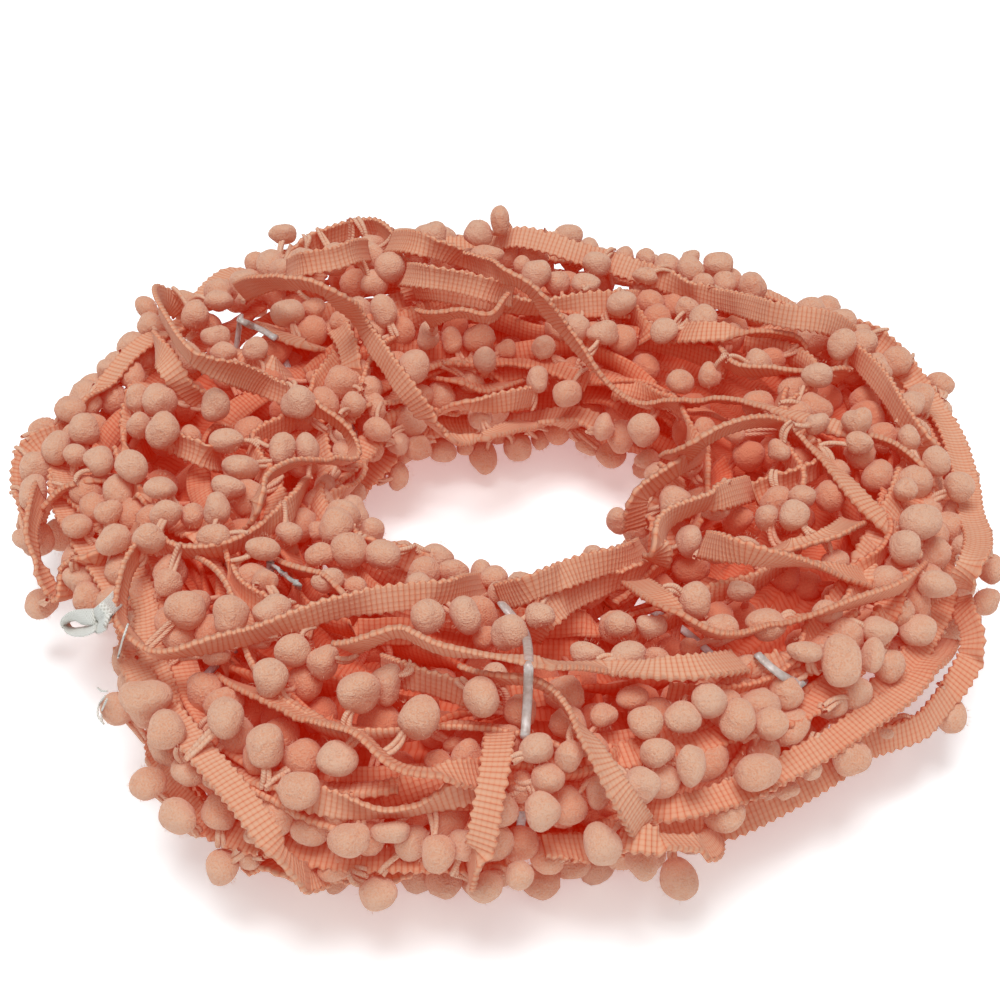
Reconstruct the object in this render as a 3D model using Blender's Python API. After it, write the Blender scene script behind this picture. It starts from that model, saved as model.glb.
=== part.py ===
# Pompom fringe trim: a woven tape edged with felted pompoms, wound into a loose ring-shaped hank.
# The ring lies flat. Angle theta goes round the ring (0 right, 90 back), and phi goes round its
# section (0 outward, 90 up, 180 to the hole, 270 down). Lengths in the tables are millimetres.
import math
import random

import bpy
import bmesh
import numpy as np

MM = 0.001

# The hank's outer form at twelve stations, every 30 degrees from theta 0
HOLE_RADIUS = (41, 43, 41, 36, 36, 34, 39, 43, 44, 49, 48, 40)
OUTER_RADIUS = (140, 144, 124, 126, 138, 136, 144, 130, 156, 148, 144, 144)
HEIGHT = (68, 60, 60, 60, 62, 60, 60, 63, 66, 68, 64, 66)
ROUNDNESS = 0.9

# The wound core below the outermost turns
CORE_SINK = 12.0
CORE_STATIONS = 36
SECTION_POINTS = 24
RIDGES = 6
RIDGE_HEIGHT = 5.5
RIDGE_ADVANCE = 3
UNDERCUT = 8.0
FLAT_LEVEL = 0.86
TIE_GROOVE = 3.2
FLOOR_GAP = 1.0

# The tape and its pompoms
TAPE_WIDTH = 8.0
TAPE_THICKNESS = 1.4
TAPE_STEP = 8.0
BASE_SINK = 11.0
CLEARANCE = 0.9
CLIMB_ROUNDS = 3
WINDOW = 9
POMPOM_RADIUS = 4.9
POMPOM_SIDES = 6
POMPOM_LATITUDES = (-38, 8, 55)
POMPOM_PITCH = 13.0
POMPOM_STEP = 2.0
POMPOM_GAP = 0.5
STALK_WIDTH = 1.5
STALK_LENGTH = 4.0
STALK_SPREAD = 2.5
STALK_LATITUDE = -78
STALK_PARTS = (0.15, 0.4, 0.65)
SWING = 0.7
RISE = 0.9
ATTEMPTS = 30
MAX_POMPOMS = 208
SEED = 5

# The outermost turns, lowest first. Columns: name, side that the pompoms hang from (1 is to the
# left of the way it runs, seen from outside), tilt at its start and at its end (0 lies flat, 90
# stands on edge), and theta and phi at each bend.
TURNS = (
    ("inner_back_low", -1, 10, 20, ((119, 168), (100, 166), (75, 163))),
    ("inner_front_left", 1, 20, 10, ((230, 122), (240, 134), (254, 148))),
    ("back_outer_high", 1, 20, 35, ((122, 36), (100, 44), (78, 36), (58, 42))),
    ("back_outer_low", -1, 35, 30, ((133, 6), (112, 14), (90, 4), (66, 12), (44, 3))),
    ("right_back_outer", 1, 40, 20, ((50, 30), (38, 8), (24, -6))),
    ("left_back_low", -1, 30, 50, ((164, 2), (152, 22), (140, 30), (128, 24))),
    ("floor_left", 1, 20, 30, ((152, -20), (166, -30), (182, -24))),
    ("floor_front_left", 1, 30, 20, ((222, -22), (242, -32), (262, -28))),
    ("floor_front_right", -1, 20, 30, ((322, -22), (302, -33), (279, -28))),
    ("floor_right", 1, 20, 20, ((342, -24), (2, -30), (18, -22))),
    ("hole_left", 1, 20, 30, ((203, 148), (184, 168), (160, 172))),
    ("hole_right", -1, 25, 15, ((322, 150), (338, 140), (356, 158))),
    ("back_left_edge", 1, 60, 30, ((128, 62), (114, 55), (109, 62), (111, 84), (113, 110))),
    ("back_left_band", -1, 10, 15, ((136, 70), (127, 76), (116, 79))),
    ("left_outer_band", -1, 20, 30, ((148, 50), (163, 46), (179, 51))),
    ("left_waffle", 1, 15, 15, ((157, 80), (159, 98), (157, 112))),
    ("front_low", -1, 15, 25, ((247, 35), (257, 31), (269, 41))),
    ("front_mid", -1, 20, 15, ((238, 62), (249, 60), (257, 52), (268, 43))),
    ("front_left_fold", 1, 30, 20, ((254, 79), (262, 69), (268, 57))),
    ("right_low", -1, 20, 30, ((286, 22), (300, 20), (315, 21), (329, 17))),
    ("right_floor_loop", -1, 50, 40,
     ((336, 14), (330, -3), (318, -8), (303, -8), (290, -12))),
    ("front_floor_bit", -1, 40, 30, ((247, 4), (254, -10), (262, -14))),
    ("right_side", -1, 65, 60, ((24, 70), (8, 65), (351, 46))),
    ("right_outer_loop", 1, 30, 40,
     ((30, 52), (17, 30), (4, 19), (350, 21), (335, 26))),
    ("back_third", 1, 15, 25, ((112, 103), (90, 109), (74, 112), (55, 98))),
    ("back_second", -1, 10, 25, ((111, 94), (98, 99), (86, 106))),
    ("right_back_third", 1, 60, 20, ((31, 106), (17, 106), (10, 78))),
    ("right_back_second", -1, 15, 25, ((43, 112), (34, 95), (18, 85))),
    ("back_top", 1, 15, 20, ((92, 58), (75, 69), (52, 82), (34, 81), (24, 62))),
    ("left_folds", -1, 40, 30, ((181, 80), (188, 88), (194, 98))),
    ("left_loop_far", 1, 70, 40, ((172, 25), (184, 8), (190, 28), (191, 62))),
    ("left_loop_low", 1, 60, 40, ((187, 30), (198, 2), (202, 22), (207, 44))),
    ("left_front_top", 1, 30, 30, ((204, 56), (216, 74), (219, 94), (207, 122))),
    ("left_wedge", -1, 10, 10, ((230, 96), (240, 100), (248, 96))),
    ("left_diagonal", 1, 20, 35, ((221, 36), (236, 40), (246, 26), (253, -4))),
    ("left_arc", -1, 70, 20, ((209, 60), (214, 37), (228, 49), (240, 84), (266, 113))),
    ("front_right_upper", 1, 15, 20, ((275, 91), (288, 109), (306, 112))),
    ("inner_front_right", 1, 20, 20, ((270, 107), (286, 120), (304, 122))),
    ("right_inner_curl", 1, 20, 30, ((304, 110), (315, 123), (331, 102))),
    ("right_top", -1, 20, 20, ((314, 102), (319, 82), (325, 57))),
    ("right_arch", 1, 60, 20, ((344, 138), (354, 106), (340, 80), (333, 52))),
    ("right_scallop", -1, 30, 60, ((296, 104), (302, 75), (315, 62), (331, 45))),
    ("front_drop", 1, 15, 20, ((270, 56), (269, 30), (267, -3))),
    ("front_right_arc", -1, 50, 30, ((266, 77), (275, 73), (281, 45), (284, 16))),
    ("front_top", -1, 40, 20, ((249, 84), (257, 89), (272, 84), (300, 65))),
    ("left_curl", 1, 20, 30,
     ((146, 40), (158, 70), (165, 108), (172, 151), (188, 143), (200, 110), (216, 95))),
    ("back_inner_sweep", -1, 50, 20,
     ((139, 68), (131, 88), (132, 120), (132, 155), (112, 184), (80, 181), (53, 174))),
    ("back_to_right", -1, 15, 20,
     ((111, 75), (92, 91), (73, 116), (50, 142), (27, 145), (5, 118), (352, 86), (347, 44))),
)

# The clear plastic ties round the section. Columns: name, theta, phi of the knot.
TIES = (
    ("tie_back_left", 147.0, 100.0),
    ("tie_left", 226.0, 108.0),
    ("tie_front", 272.5, 98.0),
    ("tie_right", 308.5, 70.0),
)
TIE_WIDTH = 1.8
TIE_THICKNESS = 0.5
TIE_GAP = 0.6
TIE_SIDES = 24
TIE_END = 7.0
TIE_CLEAR = 7.5
KNOT_ADVANCE = 8.0
GROOVE_STEPS = (-3.4, -1.7, 1.7, 3.4)
GROOVE_REACH = 2.0

# The white woven end that comes out from under the left side, folded back on the floor.
# Columns: radius and height of each bend.
WOVEN_THETA = 193.0
WOVEN_WIDTH = 8.0
WOVEN_THICKNESS = 0.9
WOVEN_BENDS = (
    (123.5, 10.5),
    (128.0, 7.6),
    (133.5, 5.6),
    (136.0, 3.6),
    (134.0, 1.6),
    (127.0, 0.8),
    (119.5, 0.8),
)

CORAL = (0.83, 0.40, 0.29, 1.0)
CORAL_DEEP = (0.70, 0.24, 0.16, 1.0)
CLEAR_WHITE = (0.86, 0.88, 0.88, 1.0)
WOVEN_WHITE = (0.82, 0.83, 0.80, 1.0)


def around(values, theta):
    """Smooth periodic curve through twelve values, read at theta degrees."""
    x = (theta % 360.0) / 30.0
    i = int(x)
    t = x - i
    p0, p1, p2, p3 = (values[(i + k) % 12] for k in (-1, 0, 1, 2))
    return p1 + 0.5 * t * (p2 - p0 + t * (2 * p0 - 5 * p1 + 4 * p2 - p3
                                          + t * (3 * (p1 - p2) + p3 - p0)))


def rounded(value):
    """Soften a cosine or sine so that the section is slightly squared."""
    return math.copysign(abs(value) ** ROUNDNESS, value)


def ring_axes(theta):
    """Outward and forward directions at theta, in the ring's plane."""
    turn = math.radians(theta)
    outward = np.array((math.cos(turn), math.sin(turn), 0.0))
    forward = np.array((-math.sin(turn), math.cos(turn), 0.0))
    return outward, forward


def surface(theta, phi, sink):
    """Point at depth sink below the hank's outer form."""
    inner, outer, height = (around(v, theta) for v in (HOLE_RADIUS, OUTER_RADIUS, HEIGHT))
    angle = math.radians(phi)
    radius = (inner + outer) / 2 + ((outer - inner) / 2 - sink) * rounded(math.cos(angle))
    upper = height / 2 - sink if math.sin(angle) > 0 else height / 2 - FLOOR_GAP
    level = height / 2 + upper * rounded(math.sin(angle))
    outward, _ = ring_axes(theta)
    return outward * radius + np.array((0.0, 0.0, level))


def normal_at(theta, phi, sink):
    """Outward normal of the form at depth sink."""
    here = surface(theta, phi, sink)
    along = surface(theta + 0.5, phi, sink) - here
    across = surface(theta, phi + 0.5, sink) - here
    normal = np.cross(along, across)
    return normal / np.linalg.norm(normal)


def smooth_route(bends):
    """Unwrapped theta and phi along a spline through the bends, about 1 mm apart."""
    points = [np.array(bends[0], float)]
    for bend in bends[1:]:
        step = np.array(bend, float) - points[-1]
        step[0] = (step[0] + 180.0) % 360.0 - 180.0
        points.append(points[-1] + step)
    ends = [2 * points[0] - points[1]] + points + [2 * points[-1] - points[-2]]
    fine = []
    for p0, p1, p2, p3 in zip(ends, ends[1:], ends[2:], ends[3:]):
        steps = max(8, int(np.linalg.norm(surface(*p2, 0) - surface(*p1, 0))))
        for t in np.linspace(0, 1, steps, endpoint=False):
            fine.append(p1 + 0.5 * t * (p2 - p0 + t * (2 * p0 - 5 * p1 + 4 * p2 - p3
                                                       + t * (3 * (p1 - p2) + p3 - p0))))
    fine.append(points[-1])
    return np.array(fine)


def half_height(tilt):
    """Half of the room that the tilted tape takes along the normal."""
    angle = math.radians(tilt)
    return abs(math.sin(angle)) * TAPE_WIDTH / 2 + abs(math.cos(angle)) * TAPE_THICKNESS / 2


class Turn:
    """One visible run of tape: its centre line, its frames and its pompoms."""

    def __init__(self, name, side, tilt_start, tilt_end, bends, sink=BASE_SINK):
        self.name = name
        self.side = side
        self.route = smooth_route(bends)
        self.tilts = np.linspace(tilt_start, tilt_end, len(self.route))
        self.heights = np.array([half_height(tilt) for tilt in self.tilts])
        self.sinks = sink - self.heights
        self.pompoms = []
        self.refresh()

    def refresh(self):
        """Work out points and frames from the route and its depths."""
        self.points = np.array([surface(t, p, s) for (t, p), s in zip(self.route, self.sinks)])
        normals = np.array([normal_at(t, p, s) for (t, p), s in zip(self.route, self.sinks)])
        self.along = np.gradient(self.points, axis=0)
        self.along /= np.linalg.norm(self.along, axis=1)[:, None]
        across = np.cross(normals, self.along)
        across /= np.linalg.norm(across, axis=1)[:, None]
        lift = np.radians(self.tilts)[:, None]
        facing = np.cross(self.along, across)
        self.across = across * np.cos(lift) + facing * np.sin(lift)
        self.facing = np.cross(self.along, self.across)
        gaps = np.linalg.norm(np.diff(self.points, axis=0), axis=1)
        self.lengths = np.concatenate(([0.0], np.cumsum(gaps)))

    def at(self, length):
        """Point and frame at a length along the tape."""
        rows = [np.array([np.interp(length, self.lengths, field[:, k]) for k in range(3)])
                for field in (self.points, self.along, self.across, self.facing)]
        return rows[0], [row / np.linalg.norm(row) for row in rows[1:]]

    def climb(self, lower_turns):
        """Raise the tape over the turns that already lie under it."""
        for _ in range(CLIMB_ROUNDS):
            need = self.sinks.copy()
            for other in lower_turns:
                offset = self.points[:, None, :] - other.points[None, :, :]
                above = np.einsum("ijk,ik->ij", offset, np.cross(self.along, self.across_flat()))
                beside = np.sqrt(np.maximum((offset ** 2).sum(axis=2) - above ** 2, 0.0))
                room = self.heights[:, None] + other.heights[None, :] + CLEARANCE
                close = (beside < TAPE_WIDTH + 1.5) & (np.abs(above) < room + 2.0)
                wanted = np.where(close, other.sinks[None, :] - room, 99.0).min(axis=1)
                need = np.minimum(need, wanted)
            padded = np.pad(need, WINDOW, mode="edge")
            low = np.array([padded[i:i + 2 * WINDOW + 1].min() for i in range(len(need))])
            padded = np.pad(low, WINDOW, mode="edge")
            self.sinks = np.array([padded[i:i + 2 * WINDOW + 1].mean() for i in range(len(low))])
            self.refresh()

    def across_flat(self):
        """Sideways direction of the tape if it lay flat on the form."""
        lift = np.radians(self.tilts)[:, None]
        return self.across * np.cos(lift) - self.facing * np.sin(lift)

    def distance(self, point):
        """Shortest distance from a point to the tape's solid."""
        offset = point - self.points
        local = np.stack([(offset * axis).sum(axis=1)
                          for axis in (self.along, self.across, self.facing)], axis=1)
        outside = np.abs(local) - np.array((0.8, TAPE_WIDTH / 2, TAPE_THICKNESS / 2))
        return np.linalg.norm(np.maximum(outside, 0.0), axis=1).min()


def tie_distance(point):
    """Distance from a point to the nearest tie's plane, on the tie's half of the ring."""
    nearest = 99.0
    for _, theta, _ in TIES:
        outward, forward = ring_axes(theta)
        if point @ outward > 0:
            nearest = min(nearest, abs(point @ forward))
    return nearest


def woven_distance(point):
    """Distance from a point to the folded woven end."""
    outward, forward = ring_axes(WOVEN_THETA)
    if point @ outward < 0:
        return 99.0
    beside = max(abs(point @ forward) - WOVEN_WIDTH / 2, 0.0)
    return min(math.hypot(point @ outward - radius, point[2] - level, beside)
               for radius, level in WOVEN_BENDS) - WOVEN_THICKNESS / 2


def depth_of(point):
    """Rough depth of a point below the hank's outer form."""
    theta = math.degrees(math.atan2(point[1], point[0]))
    inner, outer, height = (around(v, theta) for v in (HOLE_RADIUS, OUTER_RADIUS, HEIGHT))
    radial = math.hypot(point[0], point[1]) - (inner + outer) / 2
    level = point[2] - height / 2
    low, high = -12.0, 28.0
    for _ in range(24):
        sink = (low + high) / 2
        size = (abs(radial) / ((outer - inner) / 2 - sink)) ** (2 / ROUNDNESS)
        room = height / 2 - sink if level > 0 else height / 2
        size += (abs(level) / room) ** (2 / ROUNDNESS)
        if size > 1.0:
            high = sink
        else:
            low = sink
    return low


def pompom_fits(centre, root, own, turns, pompoms):
    """Whether a pompom clears the floor, the core, the ties, the tapes and other pompoms."""
    if centre[2] < POMPOM_RADIUS + 0.05:
        return False
    if depth_of(centre) > CORE_SINK - POMPOM_RADIUS - POMPOM_GAP + 0.1:
        return False
    if tie_distance(centre) < TIE_CLEAR or woven_distance(centre) < POMPOM_RADIUS + 1.0:
        return False
    if any(np.linalg.norm(centre - other) < 2 * POMPOM_RADIUS + POMPOM_GAP for other in pompoms):
        return False
    neck = [root + (centre - root) * part for part in STALK_PARTS]
    for turn in turns:
        if turn.distance(centre) < POMPOM_RADIUS + POMPOM_GAP:
            return False
        if turn is not own and min(turn.distance(point) for point in neck) < STALK_WIDTH:
            return False
    for other in pompoms:
        if min(np.linalg.norm(point - other) for point in neck) < POMPOM_RADIUS + STALK_WIDTH:
            return False
    return True


def hang_pompoms(turns):
    """Hang pompoms from one edge of each tape wherever there is room for one."""
    chance = random.Random(SEED)
    placed = []
    for turn in reversed(turns):
        length = 5.0
        while length < turn.lengths[-1] - 4.0 and len(placed) < MAX_POMPOMS:
            point, (along, across, facing) = turn.at(length)
            root = point + across * turn.side * TAPE_WIDTH / 2
            for _ in range(ATTEMPTS):
                swing = chance.uniform(-SWING, SWING)
                rise = chance.uniform(-RISE, RISE)
                lean = across * turn.side + along * swing + facing * rise
                lean /= np.linalg.norm(lean)
                reach = STALK_LENGTH + POMPOM_RADIUS + chance.uniform(0.0, STALK_SPREAD)
                centre = root + lean * reach
                if pompom_fits(centre, root, turn, turns, placed):
                    placed.append(centre)
                    turn.pompoms.append((length, centre))
                    length += POMPOM_PITCH - POMPOM_STEP
                    break
            length += POMPOM_STEP
    return placed


def stitch(mesh, first, second):
    """Join two rings of points, which may differ in number, with triangles."""
    i = 0
    j = 0
    while i < len(first) or j < len(second):
        a, b = first[i % len(first)], second[j % len(second)]
        if j >= len(second) or (i < len(first) and (i + 0.5) / len(first) <= (j + 0.5) / len(second)):
            mesh.faces.new((a, first[(i + 1) % len(first)], b))
            i += 1
        else:
            mesh.faces.new((a, second[(j + 1) % len(second)], b))
            j += 1


def add_pompom(mesh, root_ring, centre):
    """Grow a four-sided stalk and a round pompom from the tape's edge."""
    root = sum((np.array(v.co) for v in root_ring), np.zeros(3)) / 4
    axis = centre * MM - root
    axis /= np.linalg.norm(axis)
    start = np.array(root_ring[0].co) - root
    side = start - axis * (start @ axis)
    side /= np.linalg.norm(side)
    other = np.cross(axis, side)
    second = np.array(root_ring[1].co) - root
    if second @ other < 0:
        other = -other

    def ring(count, latitude, radius):
        middle = centre * MM + axis * math.sin(math.radians(latitude)) * radius
        size = math.cos(math.radians(latitude)) * radius
        turn = 2 * math.pi / count
        return [mesh.verts.new(middle + (side * math.cos(turn * k) + other * math.sin(turn * k)) * size)
                for k in range(count)]

    rings = [root_ring, ring(4, STALK_LATITUDE, POMPOM_RADIUS * MM)]
    rings += [ring(POMPOM_SIDES, latitude, POMPOM_RADIUS * MM) for latitude in POMPOM_LATITUDES]
    for lower, upper in zip(rings, rings[1:]):
        stitch(mesh, lower, upper)
    mesh.faces.new(rings[-1])


def tape_stations(turn):
    """Lengths along the tape where its section is set, with a narrow bay for each stalk."""
    marks = [length for length, _ in turn.pompoms]
    stations = []
    for mark in marks:
        stations += [mark - STALK_WIDTH / 2, mark + STALK_WIDTH / 2]
    count = max(2, round(turn.lengths[-1] / TAPE_STEP))
    for length in np.linspace(0, turn.lengths[-1], count + 1):
        is_end = length in (0.0, turn.lengths[-1])
        if is_end or all(abs(length - mark) > TAPE_STEP / 2 for mark in marks):
            stations.append(length)
    return sorted(stations)


def tape_object(turn, colour):
    """A strip of tape with its pompoms as one closed mesh."""
    mesh = bmesh.new()
    rings = []
    stations = tape_stations(turn)
    for length in stations:
        point, (_, across, facing) = turn.at(length)
        wide, deep = across * TAPE_WIDTH / 2, facing * TAPE_THICKNESS / 2
        corners = (point - wide - deep, point + wide - deep, point + wide + deep, point - wide + deep)
        rings.append([mesh.verts.new(corner * MM) for corner in corners])
    mesh.faces.new(rings[0])
    mesh.faces.new(rings[-1])
    edge = 1 if turn.side > 0 else 3
    marks = {round(length - STALK_WIDTH / 2, 6): centre for length, centre in turn.pompoms}
    for length, here, there in zip(stations, rings, rings[1:]):
        centre = marks.get(round(length, 6))
        for k in range(4):
            quad = (here[k], here[(k + 1) % 4], there[(k + 1) % 4], there[k])
            if centre is not None and k == edge:
                add_pompom(mesh, list(quad), centre)
            else:
                mesh.faces.new(quad)
    return finish_object(turn.name, mesh, colour)


def core_thetas():
    """Stations round the core, with four close ones at each tie's groove."""
    ties = [theta for _, theta, _ in TIES]
    even = [360.0 * k / CORE_STATIONS for k in range(CORE_STATIONS)]
    kept = [theta for theta in even if all(abs(theta - tie) > 5.0 for tie in ties)]
    return sorted(kept + [tie + step for tie in ties for step in GROOVE_STEPS])


def core_section(theta):
    """Radius and height of each point of the wound core's section."""
    inner, outer, height = (around(v, theta) for v in (HOLE_RADIUS, OUTER_RADIUS, HEIGHT))
    grooved = any(abs(theta - tie) < GROOVE_REACH for _, tie, _ in TIES)
    floor = TIE_GROOVE if grooved else 0.0
    section = []
    for k in range(SECTION_POINTS):
        angle = 2 * math.pi * k / SECTION_POINTS
        ridge = math.cos(RIDGES * angle + RIDGE_ADVANCE * math.radians(theta))
        depth = CORE_SINK + RIDGE_HEIGHT * (0.5 - 0.5 * ridge)
        depth += UNDERCUT * max(-math.sin(angle), 0.0)
        radius = (inner + outer) / 2 + ((outer - inner) / 2 - depth) * rounded(math.cos(angle))
        if math.sin(angle) > 0:
            level = height / 2 + (height / 2 - depth) * rounded(math.sin(angle))
        else:
            level = height / 2 * (1 + rounded(math.sin(angle)) / FLAT_LEVEL)
        section.append((radius, max(level, floor)))
    return section


def hank_object():
    """The wound core: a ring of ridged turns on a flat base."""
    mesh = bmesh.new()
    rings = []
    for theta in core_thetas():
        outward, _ = ring_axes(theta)
        points = [outward * radius + np.array((0.0, 0.0, level)) for radius, level in core_section(theta)]
        rings.append([mesh.verts.new(point * MM) for point in points])
    for here, there in zip(rings, rings[1:] + rings[:1]):
        for k in range(SECTION_POINTS):
            after = (k + 1) % SECTION_POINTS
            mesh.faces.new((here[k], here[after], there[after], there[k]))
    return finish_object("hank", mesh, CORAL_DEEP)


def woven_end_object():
    """A short strip of white webbing, folded back on itself where it lies on the floor."""
    outward, forward = ring_axes(WOVEN_THETA)
    bends = [np.array(bend) for bend in WOVEN_BENDS]
    mesh = bmesh.new()
    rings = []
    for before, here, after in zip(bends[:1] + bends[:-1], bends, bends[1:] + bends[-1:]):
        run = (after - before) / np.linalg.norm(after - before)
        side = np.array((-run[1], run[0])) * WOVEN_THICKNESS / 2
        corners = [(here + side * out, wide * WOVEN_WIDTH / 2)
                   for out, wide in ((1, -1), (1, 1), (-1, 1), (-1, -1))]
        rings.append([mesh.verts.new((outward * place[0] + forward * wide
                                      + np.array((0.0, 0.0, place[1]))) * MM)
                      for place, wide in corners])
    mesh.faces.new(rings[0])
    mesh.faces.new(rings[-1])
    for here, there in zip(rings, rings[1:]):
        for k in range(4):
            mesh.faces.new((here[k], here[(k + 1) % 4], there[(k + 1) % 4], there[k]))
    return finish_object("tie_woven_end", mesh, WOVEN_WHITE)


def slab_points(theta, turns):
    """Radius and height of everything that a tie at theta has to pass round."""
    outward, forward = ring_axes(theta)
    points = core_section(theta) + core_section(theta - 2.5) + core_section(theta + 2.5)
    points = [point for point in points if point[1] >= TIE_GROOVE - 0.01]
    for turn in turns:
        for place, across, facing in zip(turn.points, turn.across, turn.facing):
            if place @ outward < 0:
                continue
            for wide in (-1.0, -0.5, 0.0, 0.5, 1.0):
                corner = place + across * wide * TAPE_WIDTH / 2
                if abs(corner @ forward) < TIE_WIDTH / 2 + 1.2:
                    for deep in (-0.5, 0.5):
                        edge = corner + facing * deep * TAPE_THICKNESS
                        points.append((edge @ outward, edge[2]))
    return np.array(points)


def tie_loop(points, gap):
    """Convex loop that clears the points by a gap, as corners of its tangent lines."""
    turns = [2 * math.pi * k / TIE_SIDES for k in range(TIE_SIDES)]
    ways = np.array([(math.cos(turn), math.sin(turn)) for turn in turns])
    reach = (points @ ways.T).max(axis=0) + gap
    corners = []
    for k in range(TIE_SIDES):
        after = (k + 1) % TIE_SIDES
        corners.append(np.linalg.solve(ways[[k, after]], reach[[k, after]]))
    return corners


def pull_end(mesh, face, outward, sideways):
    """Draw a tapered free end out of one face of a tie."""
    for scale, push in ((0.9, outward * 0.9), (0.7, outward * 0.8 + sideways * 0.35),
                        (0.45, outward * TIE_END * 0.35 + sideways * TIE_END * 0.6)):
        face = bmesh.ops.extrude_discrete_faces(mesh, faces=[face])["faces"][0]
        middle = face.calc_center_median()
        for vert in face.verts:
            vert.co = middle + (vert.co - middle) * scale
            for axis in range(3):
                vert.co[axis] += push[axis] * MM


def tie_object(name, theta, knot_phi, turns):
    """A thin band round the section, with two short free ends at its knot."""
    outward, forward = ring_axes(theta)
    points = slab_points(theta, turns)
    loops = (tie_loop(points, TIE_GAP), tie_loop(points, TIE_GAP + TIE_THICKNESS))
    mesh = bmesh.new()
    rows = []
    for loop, half in ((loops[0], -0.5), (loops[0], 0.5), (loops[1], 0.5), (loops[1], -0.5)):
        row = []
        for radius, level in loop:
            place = outward * radius + forward * half * TIE_WIDTH + np.array((0.0, 0.0, level))
            row.append(mesh.verts.new(place * MM))
        rows.append(row)
    outer_faces = []
    for r in range(4):
        first, second = rows[r], rows[(r + 1) % 4]
        for k in range(TIE_SIDES):
            after = (k + 1) % TIE_SIDES
            face = mesh.faces.new((first[k], first[after], second[after], second[k]))
            if r == 2:
                outer_faces.append(face)
    bmesh.ops.recalc_face_normals(mesh, faces=mesh.faces[:])
    knot = int(knot_phi / 360.0 * TIE_SIDES)
    for step, lean in ((0, 1.0), (1, -1.0)):
        angle = math.radians(knot_phi + KNOT_ADVANCE)
        away = outward * math.cos(angle) + np.array((0.0, 0.0, math.sin(angle)))
        pull_end(mesh, outer_faces[(knot + step) % TIE_SIDES], away, forward * lean)
    return finish_object(name, mesh, CLEAR_WHITE)


def make_material(name, colour):
    material = bpy.data.materials.new(name + "_finish")
    material.use_nodes = True
    shader = material.node_tree.nodes["Principled BSDF"]
    shader.inputs["Base Color"].default_value = colour
    shader.inputs["Roughness"].default_value = 0.25 if colour == CLEAR_WHITE else 0.9
    shader.inputs["Metallic"].default_value = 0.0
    return material


def finish_object(name, mesh, colour):
    """Turn the mesh into a named object with its own material."""
    bmesh.ops.recalc_face_normals(mesh, faces=mesh.faces[:])
    bmesh.ops.triangulate(mesh, faces=mesh.faces[:])
    data = bpy.data.meshes.new(name)
    mesh.to_mesh(data)
    mesh.free()
    data.materials.append(make_material(name, colour))
    thing = bpy.data.objects.new(name, data)
    bpy.context.collection.objects.link(thing)
    return thing


def centre_on_origin(things):
    """Shift everything so that the whole part is centred over the origin."""
    corners = [vert.co for thing in things for vert in thing.data.vertices]
    middle = [(min(c[k] for c in corners) + max(c[k] for c in corners)) / 2 for k in range(2)]
    for thing in things:
        for vert in thing.data.vertices:
            vert.co[0] -= middle[0]
            vert.co[1] -= middle[1]
    print("ring centre in the part's frame, mm:", [round(-m / MM, 3) for m in middle])


def main():
    for old in list(bpy.data.objects):
        bpy.data.objects.remove(old, do_unlink=True)
    turns = []
    for row in TURNS:
        turn = Turn("turn_" + row[0], *row[1:])
        turn.climb(turns)
        turns.append(turn)
    pompoms = hang_pompoms(turns)
    things = [hank_object()]
    things += [tape_object(turn, CORAL) for turn in turns]
    things.append(woven_end_object())
    things += [tie_object(name, theta, knot, turns) for name, theta, knot in TIES]
    centre_on_origin(things)
    triangles = sum(len(thing.data.polygons) for thing in things)
    print("pompoms", len(pompoms), "nodes", len(things), "triangles", triangles)


main()
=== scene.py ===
# Looks for the pompom fringe trim: every turn of ribbed tape, felted pompom, doubled cord and clear
# tie of the ring-shaped hank. Lengths are millimetres in the ring's own frame: theta goes round the
# ring (0 right, 90 back) and phi round its section (0 outward, 90 up, 180 to the hole, 270 down).
import math

import bpy
import numpy as np
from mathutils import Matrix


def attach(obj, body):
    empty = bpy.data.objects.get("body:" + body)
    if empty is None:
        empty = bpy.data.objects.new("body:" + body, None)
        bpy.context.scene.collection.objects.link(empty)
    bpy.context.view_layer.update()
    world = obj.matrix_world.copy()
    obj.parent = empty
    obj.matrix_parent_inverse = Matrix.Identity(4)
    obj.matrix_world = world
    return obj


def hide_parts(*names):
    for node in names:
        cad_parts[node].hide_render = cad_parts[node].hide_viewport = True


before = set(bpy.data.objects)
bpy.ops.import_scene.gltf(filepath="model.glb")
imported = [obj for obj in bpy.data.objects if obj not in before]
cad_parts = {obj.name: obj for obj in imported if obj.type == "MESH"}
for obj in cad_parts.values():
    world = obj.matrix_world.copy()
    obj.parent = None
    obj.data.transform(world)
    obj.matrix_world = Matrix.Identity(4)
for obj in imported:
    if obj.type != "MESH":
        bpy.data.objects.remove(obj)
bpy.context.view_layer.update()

MM = 0.001
RING_CENTRE = np.array((-1.335, 12.719, 0.0))

# The hank's outer form, as in its source, at twelve stations from theta 0
HOLE_RADIUS = np.array((41, 43, 41, 36, 36, 34, 39, 43, 44, 49, 48, 40), float)
OUTER_RADIUS = np.array((140, 144, 124, 126, 138, 136, 144, 130, 156, 148, 144, 144), float)
HEIGHT = np.array((68, 60, 60, 60, 62, 60, 60, 63, 66, 68, 64, 66), float)
ROUNDNESS = 0.9
FLOOR_GAP = 1.0
UNDERCUT = 15.0

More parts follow.
